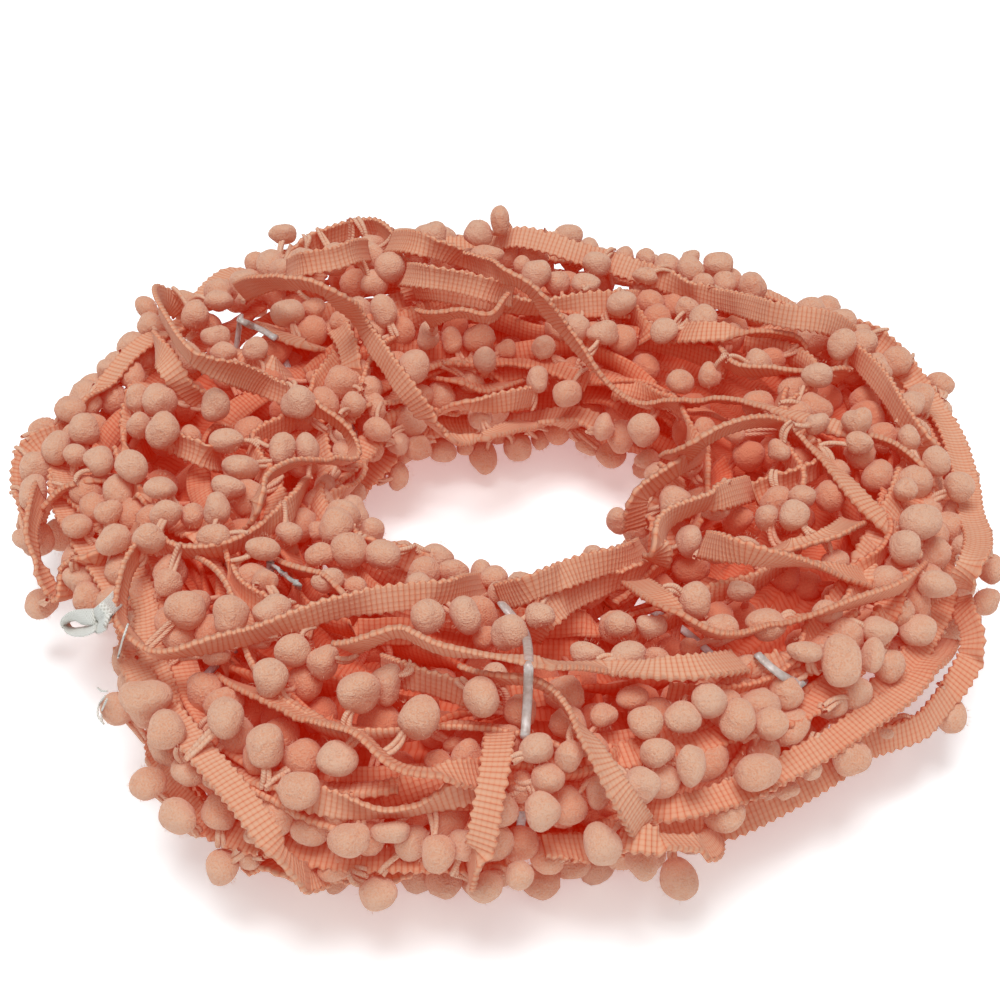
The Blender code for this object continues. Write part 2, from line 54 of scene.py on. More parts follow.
# The tape
TAPE_HALF = 3.75
SECTION_HALF = 4.0
RIB_PITCH = 1.4
RIB_RAISE = 0.04
ROW_PITCH = 1.5
FRONT_ROWS = 0.75
BACK_SHIFT = 20.0
SCALLOP = 0.45
BASE_SINK = 8.0
CLEARANCE = 0.5
HALF_THICKNESS = 0.75
END_TUCK = 9.0
PAINTED_SHADE_DEPTH = 6.0
TOWARD_CAMERA = 2.5
LEAST_SLOPE = 0.5
FLOOR_CLEAR = 0.4
STRAIGHT_BEND = 0.007
SHARP_BEND = 0.028
BEND_WINDOW = 10
CLIMB_WINDOW = 7
CLIMB_ROUNDS = 3
FAR_APART = 160.0
END_LENGTH = 13.0

# The pompoms and their cords
POMPOM_RADIUS = 4.95
POMPOM_PITCH = 13.0
REACH_SHORT = 7.0
REACH_LONG = 12.0
YARN_RADIUS = 0.8
CORD_REACH = 8.5
ROOT_CLEAR = 2.5
FUZZ_COUNT = 90
NEAR_REACH = 15.0

# The photograph's camera, with the photograph's width in pixels
CAMERA_LENS = 71.4
SENSOR_WIDTH = 36.0
PHOTO_WIDTH = 1000.0
CAMERA_PITCH = 50.0
CAMERA_PLACE = np.array((0.0, -459.6, 415.7))
VIEW_RIGHT = np.array((1.0, 0.0, 0.0))
VIEW_FORWARD = np.array((0.0, math.sin(math.radians(CAMERA_PITCH)), -math.cos(math.radians(CAMERA_PITCH))))
VIEW_UP = np.cross(VIEW_RIGHT, VIEW_FORWARD)

# Pompoms read from the photograph, in its pixels, clockwise in bands from the back left.
# Columns: x, y, half width, half height, depth of the middle under the hank's outer form.
SEEN_POMPOMS = (
    (282, 235, 14, 11, -4), (257, 263, 12, 12, 1), (250, 278, 11, 11, 3), (281, 270, 13, 13, 3),
    (307, 261, 15, 15, 1), (148, 308, 12, 12, 1), (183, 300, 14, 12, 1), (217, 301, 14, 12, 2),
    (244, 300, 10, 9, 5), (149, 328, 14, 14, 2), (156, 346, 15, 14, 4), (110, 371, 12, 12, 1),
    (215, 337, 14, 12, 4), (225, 354, 13, 11, 6), (183, 358, 19, 17, 1), (255, 350, 13, 13, 4),
    (138, 398, 12, 12, 5), (161, 399, 17, 16, 2), (88, 406, 13, 13, 4), (214, 405, 15, 17, 2),
    (138, 425, 13, 15, 5), (163, 430, 17, 16, 1), (45, 430, 15, 13, 1), (72, 436, 11, 11, 6),
    (299, 402, 17, 17, 1), (317, 380, 11, 11, 8), (331, 368, 10, 10, 9), (288, 313, 17, 14, 2),
    (314, 308, 13, 12, 5), (228, 440, 18, 13, 2), (281, 450, 14, 17, 2), (309, 450, 13, 17, 3),
    (190, 438, 12, 11, 6),
    (350, 252, 10, 9, 5), (375, 257, 15, 15, 2), (391, 266, 14, 16, 1), (374, 283, 13, 13, 4),
    (431, 233, 15, 13, -4), (477, 233, 15, 13, -3), (485, 255, 18, 12, 2), (501, 222, 10, 15, -7),
    (520, 243, 10, 10, 4), (536, 276, 14, 16, 1), (522, 267, 10, 10, 5), (558, 282, 12, 12, 5),
    (567, 235, 15, 12, -4), (585, 282, 14, 10, 2), (603, 262, 9, 9, 5), (624, 257, 12, 12, 2),
    (646, 258, 10, 9, 2), (644, 276, 13, 8, 4), (622, 303, 14, 13, 2), (577, 328, 12, 14, 4),
    (605, 332, 16, 12, 4), (663, 332, 13, 13, 5), (544, 348, 12, 13, 6), (427, 335, 12, 14, 4),
    (451, 340, 10, 13, 8), (413, 367, 15, 17, 3), (358, 308, 13, 13, 5), (384, 310, 13, 15, 3),
    (376, 331, 11, 11, 7), (341, 323, 12, 12, 5), (360, 373, 12, 14, 6), (485, 362, 12, 13, 5),
    (506, 350, 10, 9, 11), (456, 367, 11, 11, 9), (537, 381, 11, 13, 6), (567, 393, 15, 15, 5),
    (554, 364, 10, 9, 11), (574, 367, 10, 10, 11), (604, 426, 11, 13, 3), (643, 430, 15, 16, 3),
    (354, 405, 13, 13, 6), (377, 406, 10, 15, 6), (377, 430, 15, 11, 6), (344, 452, 14, 13, 6),
    (373, 449, 12, 12, 8), (398, 444, 11, 12, 8), (417, 447, 14, 13, 5), (442, 452, 13, 12, 6),
    (465, 446, 9, 9, 9), (480, 418, 12, 11, 2), (483, 458, 14, 16, 3), (519, 448, 14, 15, 4),
    (540, 440, 11, 11, 8), (588, 445, 14, 12, 8), (609, 455, 15, 14, 6), (400, 476, 11, 15, 4),
    (689, 269, 14, 14, 1), (691, 257, 11, 9, 4), (718, 263, 16, 12, 1), (703, 286, 11, 11, 5),
    (725, 282, 12, 12, 3), (752, 287, 12, 14, 1), (732, 304, 11, 11, 7), (788, 311, 9, 8, 4),
    (809, 307, 14, 12, 0), (703, 321, 15, 17, 1), (687, 308, 12, 11, 5), (757, 364, 14, 16, 4),
    (680, 381, 15, 12, 5), (711, 377, 11, 13, 7), (757, 405, 17, 14, 7), (819, 375, 16, 14, 2),
    (797, 411, 15, 10, 6), (818, 423, 13, 11, 4), (842, 345, 15, 17, 1), (861, 331, 11, 9, 2),
    (857, 422, 15, 15, 3), (858, 443, 14, 12, 5), (911, 405, 15, 13, 3), (940, 385, 13, 13, 0),
    (909, 438, 12, 15, 5), (947, 432, 12, 13, 6), (705, 430, 12, 11, 9), (735, 434, 11, 11, 9),
    (98, 462, 16, 15, 2), (132, 467, 17, 16, 2), (161, 488, 17, 13, 2), (166, 514, 15, 14, 2),
    (229, 488, 17, 12, 3), (217, 508, 14, 17, 1), (193, 516, 13, 13, 5), (240, 466, 18, 15, 1),
    (325, 485, 11, 11, 8), (335, 521, 12, 12, 8), (109, 512, 14, 13, 6), (114, 540, 18, 15, 3),
    (148, 538, 16, 17, 1), (217, 538, 18, 12, 3), (263, 548, 17, 12, 2), (288, 533, 12, 12, 6),
    (266, 581, 14, 13, 5), (321, 554, 15, 11, 5), (329, 580, 16, 13, 4), (318, 531, 10, 10, 7),
    (168, 583, 14, 13, 6), (185, 610, 21, 18, 1), (231, 617, 19, 18, 1), (271, 611, 20, 17, 1),
    (80, 578, 18, 15, 4), (90, 597, 16, 15, 5), (41, 604, 17, 15, 2), (29, 537, 14, 12, 0),
    (77, 526, 16, 13, 5), (76, 456, 12, 12, 6), (255, 640, 15, 12, 4), (215, 655, 14, 11, 5),
    (646, 460, 12, 11, 8), (352, 493, 13, 15, 6), (371, 531, 15, 14, 3), (401, 551, 12, 11, 6),
    (438, 556, 16, 13, 3), (454, 572, 15, 12, 5), (481, 572, 11, 11, 6), (495, 577, 14, 12, 5),
    (417, 582, 14, 11, 5), (431, 594, 12, 11, 6), (428, 616, 17, 19, 1), (466, 616, 18, 18, 1),
    (355, 586, 11, 10, 6), (593, 561, 12, 16, 0), (618, 520, 12, 13, 1), (620, 571, 15, 11, 4),
    (541, 616, 15, 13, 3), (620, 625, 16, 14, 3), (651, 626, 14, 14, 6), (648, 506, 12, 12, 6),
    (500, 592, 12, 11, 5), (687, 461, 16, 15, 5), (780, 450, 11, 11, 7), (801, 496, 16, 11, 4),
    (792, 516, 16, 16, 3), (766, 517, 13, 15, 4), (715, 508, 15, 12, 5), (690, 542, 14, 17, 3),
    (745, 547, 18, 12, 4), (715, 555, 13, 9, 5), (838, 471, 12, 13, 5), (904, 491, 12, 13, 4),
    (920, 521, 20, 18, 1), (936, 463, 15, 15, 3), (958, 487, 14, 16, 0), (905, 547, 17, 17, 5),
    (836, 563, 14, 12, 8), (961, 545, 10, 10, 3), (937, 585, 22, 14, 1), (991, 571, 15, 15, -3),
    (986, 603, 16, 15, -1), (695, 600, 18, 20, 1), (720, 632, 19, 18, 1), (768, 626, 20, 16, 2),
    (828, 611, 14, 12, 5), (880, 631, 20, 15, 3), (901, 612, 14, 14, 7), (955, 510, 11, 11, 5),
    (741, 590, 14, 10, 8),
    (293, 649, 19, 19, 1), (271, 679, 18, 19, 2), (324, 663, 17, 18, 4), (359, 691, 21, 22, 1),
    (386, 685, 18, 19, 3), (417, 719, 22, 22, 0), (337, 759, 21, 19, 2), (266, 746, 20, 20, 2),
    (225, 719, 19, 20, 2), (146, 701, 23, 22, 1), (168, 731, 20, 20, 2), (118, 708, 17, 17, 5),
    (188, 771, 18, 16, 4), (218, 779, 16, 13, 5), (146, 783, 19, 16, 2), (181, 818, 20, 19, 2),
    (299, 790, 19, 20, 1), (348, 840, 22, 20, 2), (309, 828, 20, 17, 8), (392, 832, 18, 13, 6),
    (508, 634, 17, 20, 1), (588, 653, 16, 12, 5), (628, 656, 20, 15, 3), (656, 657, 13, 11, 7),
    (481, 697, 20, 21, 1), (494, 677, 13, 14, 2), (537, 749, 18, 17, 2), (569, 754, 15, 16, 4),
    (521, 785, 13, 17, 7), (548, 777, 16, 16, 7), (541, 811, 18, 21, 1), (469, 759, 17, 17, 7),
    (647, 721, 17, 16, 3), (681, 717, 18, 17, 3), (709, 702, 18, 17, 3), (692, 765, 15, 22, 1),
    (657, 753, 18, 15, 4), (640, 784, 19, 19, 1), (633, 700, 17, 12, 8), (602, 716, 15, 12, 8),
    (598, 790, 13, 18, 8), (604, 845, 20, 22, 1), (842, 663, 22, 24, 1), (874, 656, 13, 17, 6),
    (805, 651, 19, 11, 5), (747, 668, 18, 12, 6), (743, 690, 15, 13, 9), (737, 720, 18, 19, 2),
    (770, 726, 18, 16, 3), (757, 771, 24, 21, 0), (848, 757, 21, 18, 2), (880, 732, 20, 15, 6),
    (809, 768, 13, 13, 5), (786, 790, 12, 11, 6), (726, 813, 20, 19, 3), (951, 716, 16, 20, 0),
    (831, 704, 17, 14, 8), (224, 867, 18, 17, 1), (250, 856, 15, 15, 5), (258, 832, 12, 14, 6),
    (436, 851, 18, 21, 1), (463, 846, 14, 17, 4), (336, 868, 19, 13, 6), (376, 893, 21, 19, 1),
    (484, 887, 18, 15, 2), (519, 875, 16, 16, 1), (643, 861, 15, 19, 2), (678, 881, 20, 21, 1),
    (456, 745, 12, 10, 9), (690, 648, 11, 10, 8), (485, 637, 12, 11, 8), (440, 762, 14, 12, 9),
)

# Turns seen in the photograph, lowest first. Columns: side that the pompoms hang from (1 is to the
# left of the way it runs, seen from outside), tilt at its start and at its end (0 lies flat, 90
# stands on edge, over 90 shows the back), and theta and phi at each bend.
SEEN_TURNS = (
    (1, 20, 10, ((230, 122), (236, 126), (242, 136), (248, 144), (254, 148))),
    (-1, 165, 175, ((117, 150), (107, 153), (97, 157), (83, 153))),
    (-1, 10, 20, ((118, 168), (108, 167), (97, 166), (75, 163))),
    (1, 60, 30, ((128, 62), (120, 58), (112, 56), (110, 75), (112, 92), (113, 112))),
    (-1, 10, 15, ((131, 72), (123, 79), (116, 78))),
    (-1, 20, 30, ((150, 50), (157, 48), (163, 47), (170, 47), (178, 50))),
    (1, 165, 170, ((157, 84), (158, 97), (158, 108))),
    (-1, 170, 165, ((146, 88), (147, 97), (145, 108))),
    (1, 10, 15, ((135, 102), (139, 114), (143, 121), (149, 128))),
    (-1, 15, 25, ((246, 36), (252, 34), (260, 31), (266, 37), (270, 41))),
    (-1, 170, 165, ((238, 62), (247, 61), (254, 57), (260, 46), (268, 43))),
    (1, 30, 20, ((255, 79), (260, 76), (265, 71), (269, 63))),
    (-1, 165, 140, ((284, 23), (292, 19), (303, 21), (313, 20), (328, 17))),
    (-1, 50, 40, ((336, 14), (333, 2), (324, -8), (311, -5), (297, -8), (290, -12))),
    (-1, 40, 30, ((247, 2), (252, -10), (260, -14))),
    (-1, 150, 160, ((280, 15), (287, 5), (293, -6))),
    (-1, 65, 60, ((25, 73), (12, 66), (0, 60), (351, 45))),
    (1, 30, 40, ((30, 52), (22, 37), (12, 24), (0, 18), (345, 22), (335, 26))),
    (1, 15, 25, ((112, 103), (97, 107), (83, 112), (70, 108), (54, 98))),
    (-1, 10, 25, ((112, 95), (99, 99), (87, 106))),
    (-1, 60, 50, ((113, 118), (102, 116), (94, 118), (89, 109))),
    (1, 70, 150, ((31, 106), (24, 109), (17, 106), (11, 88), (10, 76))),
    (-1, 165, 155, ((43, 112), (35, 100), (25, 85), (18, 85))),
    (1, 15, 20, ((92, 60), (78, 67), (60, 78), (44, 85), (31, 79), (23, 62))),
    (-1, 40, 30, ((181, 80), (187, 88), (194, 97))),
    (-1, 15, 10, ((156, 54), (163, 72), (170, 85), (176, 98))),
    (1, 110, 140, ((172, 25), (184, 8), (190, 24), (190, 46), (192, 65))),
    (1, 60, 40, ((187, 30), (193, 12), (200, 0), (201, 24), (207, 44))),
    (1, 30, 30, ((205, 56), (215, 71), (220, 90), (216, 109), (206, 124))),
    (-1, 170, 170, ((230, 96), (238, 101), (248, 96))),
    (1, 160, 150, ((221, 36), (229, 39), (238, 39), (246, 26), (253, -5))),
    (-1, 115, 20, ((208, 61), (211, 44), (217, 36), (226, 47), (235, 72), (245, 95), (267, 113))),
    (1, 15, 20, ((274, 89), (281, 103), (291, 110), (306, 112))),
    (1, 20, 20, ((270, 106), (280, 115), (290, 121), (305, 122))),
    (1, 20, 30, ((303, 111), (309, 120), (317, 123), (326, 112), (332, 102))),
    (-1, 20, 160, ((313, 104), (316, 92), (320, 78), (325, 56))),
    (-1, 50, 60, ((317, 148), (327, 146), (338, 134), (344, 124))),
    (1, 75, 160, ((344, 138), (352, 118), (353, 101), (345, 88), (337, 74), (333, 51))),
    (-1, 20, 30, ((332, 73), (327, 78), (318, 89))),
    (-1, 160, 60, ((296, 106), (299, 84), (303, 74), (311, 68), (320, 58), (331, 45))),
    (1, 15, 20, ((270, 57), (269, 35), (268, 12), (267, -4))),
    (-1, 60, 160, ((266, 77), (275, 73), (279, 56), (282, 32), (284, 15))),
    (-1, 60, 160, ((249, 84), (255, 91), (263, 85), (274, 81), (286, 76), (301, 65))),
    (1, 30, 60,
     ((145, 38), (153, 57), (161, 82), (165, 108), (168, 143), (180, 152), (193, 130), (203, 108),
      (216, 94))),
    (-1, 70, 15,
     ((140, 66), (132, 82), (130, 103), (133, 125), (133, 148), (125, 173), (108, 186), (77, 180),
      (52, 174))),
    (-1, 15, 165,
     ((111, 75), (97, 86), (83, 99), (73, 117), (60, 134), (45, 147), (27, 145), (10, 124),
      (354, 92), (351, 63), (346, 43))),
)

# Turns round the sides that the photograph doesn't show, in the same columns
OTHER_TURNS = (
    (1, 20, 35, ((122, 36), (100, 44), (78, 36), (58, 42))),
    (-1, 35, 30, ((133, 6), (112, 14), (90, 4), (66, 12), (44, 3))),
    (1, 40, 20, ((50, 30), (38, 8), (24, -6))),
    (-1, 30, 50, ((164, 2), (152, 22), (140, 30), (128, 24))),
    (1, 20, 20, ((152, -20), (166, -30), (182, -24))),
    (1, 30, 20, ((222, -22), (242, -32), (262, -28))),
    (-1, 20, 30, ((322, -22), (302, -33), (279, -28))),
    (1, 20, 20, ((342, -24), (2, -30), (18, -22))),
    (1, 20, 30, ((203, 148), (184, 168), (160, 172))),
    (-1, 25, 15, ((322, 150), (338, 140), (356, 158))),
)

# Turns that fill the ring under the seen ones. Columns: how many, depth, random seed.
UNDER_LAYERS = (
    (46, 11.5, 11),
    (44, 16.0, 23),
    (30, 22.0, 37),
)

# The clear ties. Columns: node, theta, and the stretch that shows, in the photograph's pixels from
# the hole outward; the rest goes round under the turns.
TIES = (
    ("tie_back_left", 147.0, ((275, 338), (262, 330), (250, 325), (240, 320))),
    ("tie_left", 228.0, ((298, 584), (287, 577), (278, 569), (270, 564))),
    ("tie_front", 272.5, ((502, 604), (512, 616), (522, 626), (528, 648), (528, 690), (525, 737))),
    ("tie_right", 305.0, ((758, 655), (772, 668), (786, 678), (802, 685))),
)
TIE_WIDTH = 2.4
TIE_THICK = 1.2
TIE_SINK = 20.0
TIE_DIVE = 13.0
TIE_TURN = 15.0

# The woven end's route in the photograph's pixels: down the strip, then round the fold at its tip
WOVEN_ROUTE = (
    (124, 592), (119, 597), (108, 608), (97, 616), (84, 617), (72, 618), (67, 623),
    (73, 630), (85, 631), (97, 627), (108, 620))
WOVEN_HALF = 2.3
WOVEN_TUCK = 13.0
WOVEN_THICK = 0.55
WOVEN_THREADS = (
    ((105, 696), (99, 705), (98, 716), (104, 724)),
    ((107, 699), (102, 711), (102, 722)),
    ((98, 688), (102, 691), (107, 691)),
    ((128, 624), (123, 639), (118, 658)),
)
WOVEN_PITCH = 1.1
THREAD_RADIUS = 0.3


def blend(p0, p1, p2, p3, t):
    """Point at share t of the way from p1 to p2, on a smooth curve through all four."""
    return p1 + 0.5 * t * (p2 - p0 + t * (2 * p0 - 5 * p1 + 4 * p2 - p3 + t * (3 * (p1 - p2) + p3 - p0)))


def with_ends(points):
    """The points with one more past each end, so that a curve covers every stretch."""
    return np.vstack((2 * points[0] - points[1], points, 2 * points[-1] - points[-2]))


def lengths_along(points):
    """Length of a line up to each of its points."""
    return np.concatenate(([0.0], np.cumsum(np.linalg.norm(np.diff(points, axis=0), axis=1))))


def read_at(wanted, places, field):
    """Rows of a field at the wanted places between its own."""
    return np.stack([np.interp(wanted, places, column) for column in field.T], axis=1)


def windowed(values, reach, kind):
    """Mean or least of the values within reach of each one."""
    padded = np.pad(values, reach, mode="edge")
    return np.array([kind(padded[k:k + 2 * reach + 1]) for k in range(len(values))])


def around(values, theta):
    """Smooth periodic curve through twelve values, read at theta degrees."""
    x = (theta % 360.0) / 30.0
    i = x.astype(int) % 12
    return blend(*(values[(i + k) % 12] for k in (-1, 0, 1, 2)), x - np.floor(x))


def rounded(value):
    """Soften a cosine or sine so that the section is slightly squared."""
    return np.sign(value) * np.abs(value) ** ROUNDNESS


def surface(theta, phi, sink):
    """Points at depth sink below the hank's outer form."""
    inner, outer, height = (around(v, theta) for v in (HOLE_RADIUS, OUTER_RADIUS, HEIGHT))
    angle = np.radians(phi)
    drawn_in = UNDERCUT * np.maximum(-np.sin(angle), 0.0)
    radius = (inner + outer) / 2 + ((outer - inner) / 2 - sink - drawn_in) * rounded(np.cos(angle))
    upper = np.where(np.sin(angle) > 0, height / 2 - sink, height / 2 - FLOOR_GAP)
    level = height / 2 + upper * rounded(np.sin(angle))
    turn = np.radians(theta)
    return np.stack((radius * np.cos(turn), radius * np.sin(turn), level), axis=-1)


def unit(vectors):
    return vectors / np.maximum(np.linalg.norm(vectors, axis=-1, keepdims=True), 1e-9)


def spline(points, spacing=1.0):
    """Points on a smooth curve through the given rows, about a spacing apart."""
    points = np.array(points, float)
    ends = with_ends(points)
    fine = []
    for four in zip(ends, ends[1:], ends[2:], ends[3:]):
        here, there = (surface(p[:1], p[1:2], 0.0)[0] for p in four[1:3])
        count = max(6, int(np.linalg.norm(there - here) / spacing))
        fine.append(blend(*four, np.linspace(0, 1, count, endpoint=False)[:, None]))
    return np.vstack(fine + [points[-1:]])


def unwrapped(bends):
    """Bends whose theta doesn't jump at 360."""
    rows = [np.array(bends[0], float)]
    for bend in bends[1:]:
        step = np.array(bend, float) - rows[-1]
        step[0] = (step[0] + 180.0) % 360.0 - 180.0
        rows.append(rows[-1] + step)
    return rows


def wander(chance, places, scale):
    """Smooth random wave of about unit size along the places."""
    total = np.zeros(len(places))
    for k in range(3):
        wave = scale * chance.uniform(0.5, 1.6)
        total += np.sin(places / wave * 2 * math.pi + chance.uniform(0, 2 * math.pi)) / 3 * 1.6
    return total


class Turn:
    """One run of tape: its centre line and frames, about every millimetre."""

    def __init__(self, side, tilt_start, tilt_end, bends, sink, chance, rough=1.0, toward=0.0):
        self.side = side
        self.toward = toward
        self.route = spline(unwrapped(bends))
        count = len(self.route)
        place = np.arange(count, dtype=float)
        self.route[:, 1] += wander(chance, place, 45.0) * 1.0 * rough
        self.tilts = np.linspace(tilt_start, tilt_end, count) + wander(chance, place, 35.0) * 9.0 * rough
        self.sinks = np.full(count, float(sink))
        self.refresh()
        self.stand_in_bends()
        self.refresh()
        standing, lying = ((field * self.up).sum(axis=1) for field in (self.across, self.facing))
        self.heights = np.abs(standing) * TAPE_HALF + np.abs(lying) * HALF_THICKNESS
        self.sinks = sink - self.heights
        # Random tone, less the depth under the first turns: deeper turns are painted darker and redder, as
        # painted shade
        self.tone_and_painted_shade = chance.uniform(0, 1) - max(0.0, sink - BASE_SINK) / PAINTED_SHADE_DEPTH
        self.cup = chance.uniform(-0.5, 0.9)
        self.refresh()

    def refresh(self):
        """Work out points and frames from the route and its depths."""
        theta, phi = self.route.T
        self.points = surface(theta, phi, self.sinks)
        along = surface(theta + 0.5, phi, self.sinks) - self.points
        across = surface(theta, phi + 0.5, self.sinks) - self.points
        self.normals = unit(np.cross(along, across))
        if self.toward:
            self.keep_in_view()
        self.along = unit(np.gradient(self.points, axis=0))
        self.up = np.cross(self.along, unit(np.cross(self.normals, self.along)))
        look = unit(CAMERA_PLACE - self.points)
        seen = np.clip((self.normals * look).sum(axis=1, keepdims=True) + 0.2, 0.0, 1.0)
        self.flat = unit(np.cross(self.normals + look * seen * self.toward, self.along))
        raised = np.cross(self.along, self.flat)
        lift = np.radians(self.tilts)[:, None]
        self.across = self.flat * np.cos(lift) + raised * np.sin(lift)
        self.facing = np.cross(self.along, self.across)
        self.lengths = lengths_along(self.points)

    def keep_in_view(self):
        """Move along the camera's view instead of the normal, so that the tape keeps its place there."""
        outer = surface(*self.route.T, np.zeros(len(self.route)))
        look = unit(CAMERA_PLACE - outer)
        slope = (self.normals * look).sum(axis=1)
        placed = outer - look * (self.sinks / np.clip(slope, LEAST_SLOPE, 1.0))[:, None]
        share = np.clip(slope / LEAST_SLOPE, 0.0, 1.0)[:, None]
        self.points = self.points * (1.0 - share) + placed * share

    def stand_in_bends(self):
        """Turn the tape up on edge where its route bends sideways, since tape can't bend flat."""
        bend = np.gradient(self.along, axis=0) / np.gradient(self.lengths)[:, None]
        sideways = np.abs((bend * self.flat).sum(axis=1))
        smooth = windowed(sideways, BEND_WINDOW, np.mean)
        share = np.clip((smooth - STRAIGHT_BEND) / (SHARP_BEND - STRAIGHT_BEND), 0.0, 0.85)
        upright = np.where(self.tilts >= 0, 90.0, -90.0)
        self.tilts = self.tilts + (upright - self.tilts) * share

    def climb(self, lower_turns):
        """Raise the tape over the turns that already lie under it."""
        for _ in range(CLIMB_ROUNDS):
            need = self.sinks.copy()
            for other in lower_turns:
                if np.abs(self.points.mean(0) - other.points.mean(0)).max() > FAR_APART:
                    continue
                offset = self.points[:, None, :] - other.points[None, ::2, :]
                above = np.einsum("ijk,ik->ij", offset, self.up)
                beside = np.sqrt(np.maximum((offset ** 2).sum(axis=2) - above ** 2, 0.0))
                room = self.heights[:, None] + other.heights[None, ::2] + CLEARANCE
                close = (beside < 2 * TAPE_HALF + 0.5) & (np.abs(above) < room + 2.0)
                wanted = np.where(close, other.sinks[None, ::2] - room, 99.0).min(axis=1)
                need = np.minimum(need, wanted)
            self.sinks = windowed(windowed(need, CLIMB_WINDOW, np.min), CLIMB_WINDOW, np.mean)
            self.refresh()

    def tuck_ends(self):
        """Sink both ends of the run into the hank, so that it goes on out of sight."""
        from_end = np.minimum(self.lengths, self.lengths[-1] - self.lengths)
        share = np.clip(1.0 - from_end / min(END_LENGTH, self.lengths[-1] * 0.3), 0.0, 1.0)
        self.sinks = self.sinks + END_TUCK * share ** 2
        self.refresh()

    def at(self, lengths):
        """Points and frames at lengths along the tape."""
        points, *frames = (read_at(lengths, self.lengths, field)
                           for field in (self.points, self.along, self.across, self.facing))
        return points, *map(unit, frames)


def seen_turns():
    """The photographed turns, each laid over the ones before it, and those of the other sides."""
    chance = np.random.default_rng(3)
    turns = []
    for row in OTHER_TURNS + SEEN_TURNS:
        toward = TOWARD_CAMERA if row in SEEN_TURNS else 0.0
        turn = Turn(*row, BASE_SINK, chance, rough=0.6, toward=toward)
        turn.climb(turns)
        turn.tuck_ends()
        turns.append(turn)
    return turns


def under_turns(count, depth, seed):
    """Loose turns at one depth, at random places all round the section."""
    chance = np.random.default_rng(seed)
    turns = []
    for k in range(count):
        start = chance.uniform(0, 360)
        span = chance.uniform(45, 120) * chance.choice((-1, 1))
        phi = (k + chance.uniform(0, 1)) * 360.0 / count * 5 % 360.0
        drift = chance.uniform(-45, 45)
        bends = [(start + span * t, phi + drift * t + chance.uniform(-9, 9)) for t in np.linspace(0, 1, 6)]
        tilt = chance.uniform(-60, 60) + chance.choice((0, 180))
        twist = chance.uniform(-70, 70)
        turns.append(Turn(chance.choice((-1, 1)), tilt, tilt + twist, bends, depth, chance))
    return turns


class Batch:
    """Points, faces and per-point values of many small shapes that make one mesh."""

    def __init__(self):
        self.points = []
        self.faces = []
        self.corners = []
        self.tones_and_painted_shades = []
        self.count = 0

    def add(self, points, faces, corners, tone_and_painted_shade):
        self.points.append(points)
        self.faces.append(faces + self.count)
        self.corners.append(corners)
        self.tones_and_painted_shades.append(np.broadcast_to(tone_and_painted_shade, len(points)))
        self.count += len(points)

    def add_tube(self, rings, corners, tone_and_painted_shade):
        """Skin rows of rings as one tube with closed ends, held off the floor."""
        rows, columns = rings.shape[:2]
        rings[..., 2] = np.maximum(rings[..., 2], FLOOR_CLEAR)
        self.add(rings.reshape(-1, 3), grid_faces(rows, columns), corners.reshape(-1, 2), tone_and_painted_shade)
        first = self.count - rows * columns
        for row, order in ((0, -1), (rows - 1, 1)):
            self.faces.append((row * columns + np.arange(columns))[::order][None, :] + first)

    def triangles(self):
        return sum(len(faces) * (faces.shape[1] - 2) for faces in self.faces)

    def build(self, name, material):
        """Make the mesh object, shaded smooth, with its flat map and its per-point values of random tone and
        painted shade.
        """
        points = (np.vstack(self.points) + RING_CENTRE) * MM
        corners = np.vstack(self.corners)
        sizes = np.concatenate([np.full(len(faces), faces.shape[1]) for faces in self.faces])
        loops = np.concatenate([faces.ravel() for faces in self.faces])
        mesh = bpy.data.meshes.new(name)
        mesh.vertices.add(len(points))
        mesh.vertices.foreach_set("co", points.astype(np.float32).ravel())
        mesh.loops.add(len(loops))
        mesh.loops.foreach_set("vertex_index", loops.astype(np.int32))
        mesh.polygons.add(len(sizes))
        starts = np.concatenate(([0], np.cumsum(sizes)[:-1]))
        mesh.polygons.foreach_set("loop_start", starts.astype(np.int32))
        mesh.update(calc_edges=True)
        mesh.validate()
        layer = mesh.uv_layers.new(name="cloth_mm")
        layer.data.foreach_set("uv", corners[loops].astype(np.float32).ravel())
        tone_and_painted_shade = mesh.attributes.new("tone_and_painted_shade", "FLOAT", "POINT")
        tone_and_painted_shade.data.foreach_set("value", np.concatenate(self.tones_and_painted_shades).astype(np.float32))
        mesh.shade_smooth()
        mesh.materials.append(material)
        thing = bpy.data.objects.new(name, mesh)
        bpy.context.collection.objects.link(thing)
        return thing


def grid_faces(rows, columns):
    """Quads of a tube with closed columns and open rows."""
    row, column = np.meshgrid(np.arange(rows - 1), np.arange(columns), indexing="ij")
    after = (column + 1) % columns
    quads = np.stack((row * columns + column, row * columns + after,
                      (row + 1) * columns + after, (row + 1) * columns + column), axis=-1)
    return quads.reshape(-1, 4)


# Half sections of the tape from edge to edge: across, and height above the middle
FINE_SECTION = np.array((
    (-4.0, 0.0), (-3.72, 0.78), (-3.0, 0.62), (-1.1, 0.6), (1.1, 0.6), (3.0, 0.62), (3.72, 0.78),
    (4.0, 0.0), (3.72, -0.78), (3.0, -0.58), (0.0, -0.56), (-3.0, -0.58), (-3.72, -0.78)))
MIDDLE_SECTION = np.array((
    (-4.0, 0.0), (-3.7, 0.78), (-2.9, 0.62), (0.0, 0.6), (2.9, 0.62), (3.7, 0.78), (4.0, 0.0),
    (3.7, -0.78), (0.0, -0.56), (-3.7, -0.78)))
PLAIN_SECTION = np.array((
    (-4.0, 0.0), (-3.6, 0.7), (0.0, 0.58), (3.6, 0.7), (4.0, 0.0), (3.6, -0.7), (0.0, -0.56), (-3.6, -0.7)))


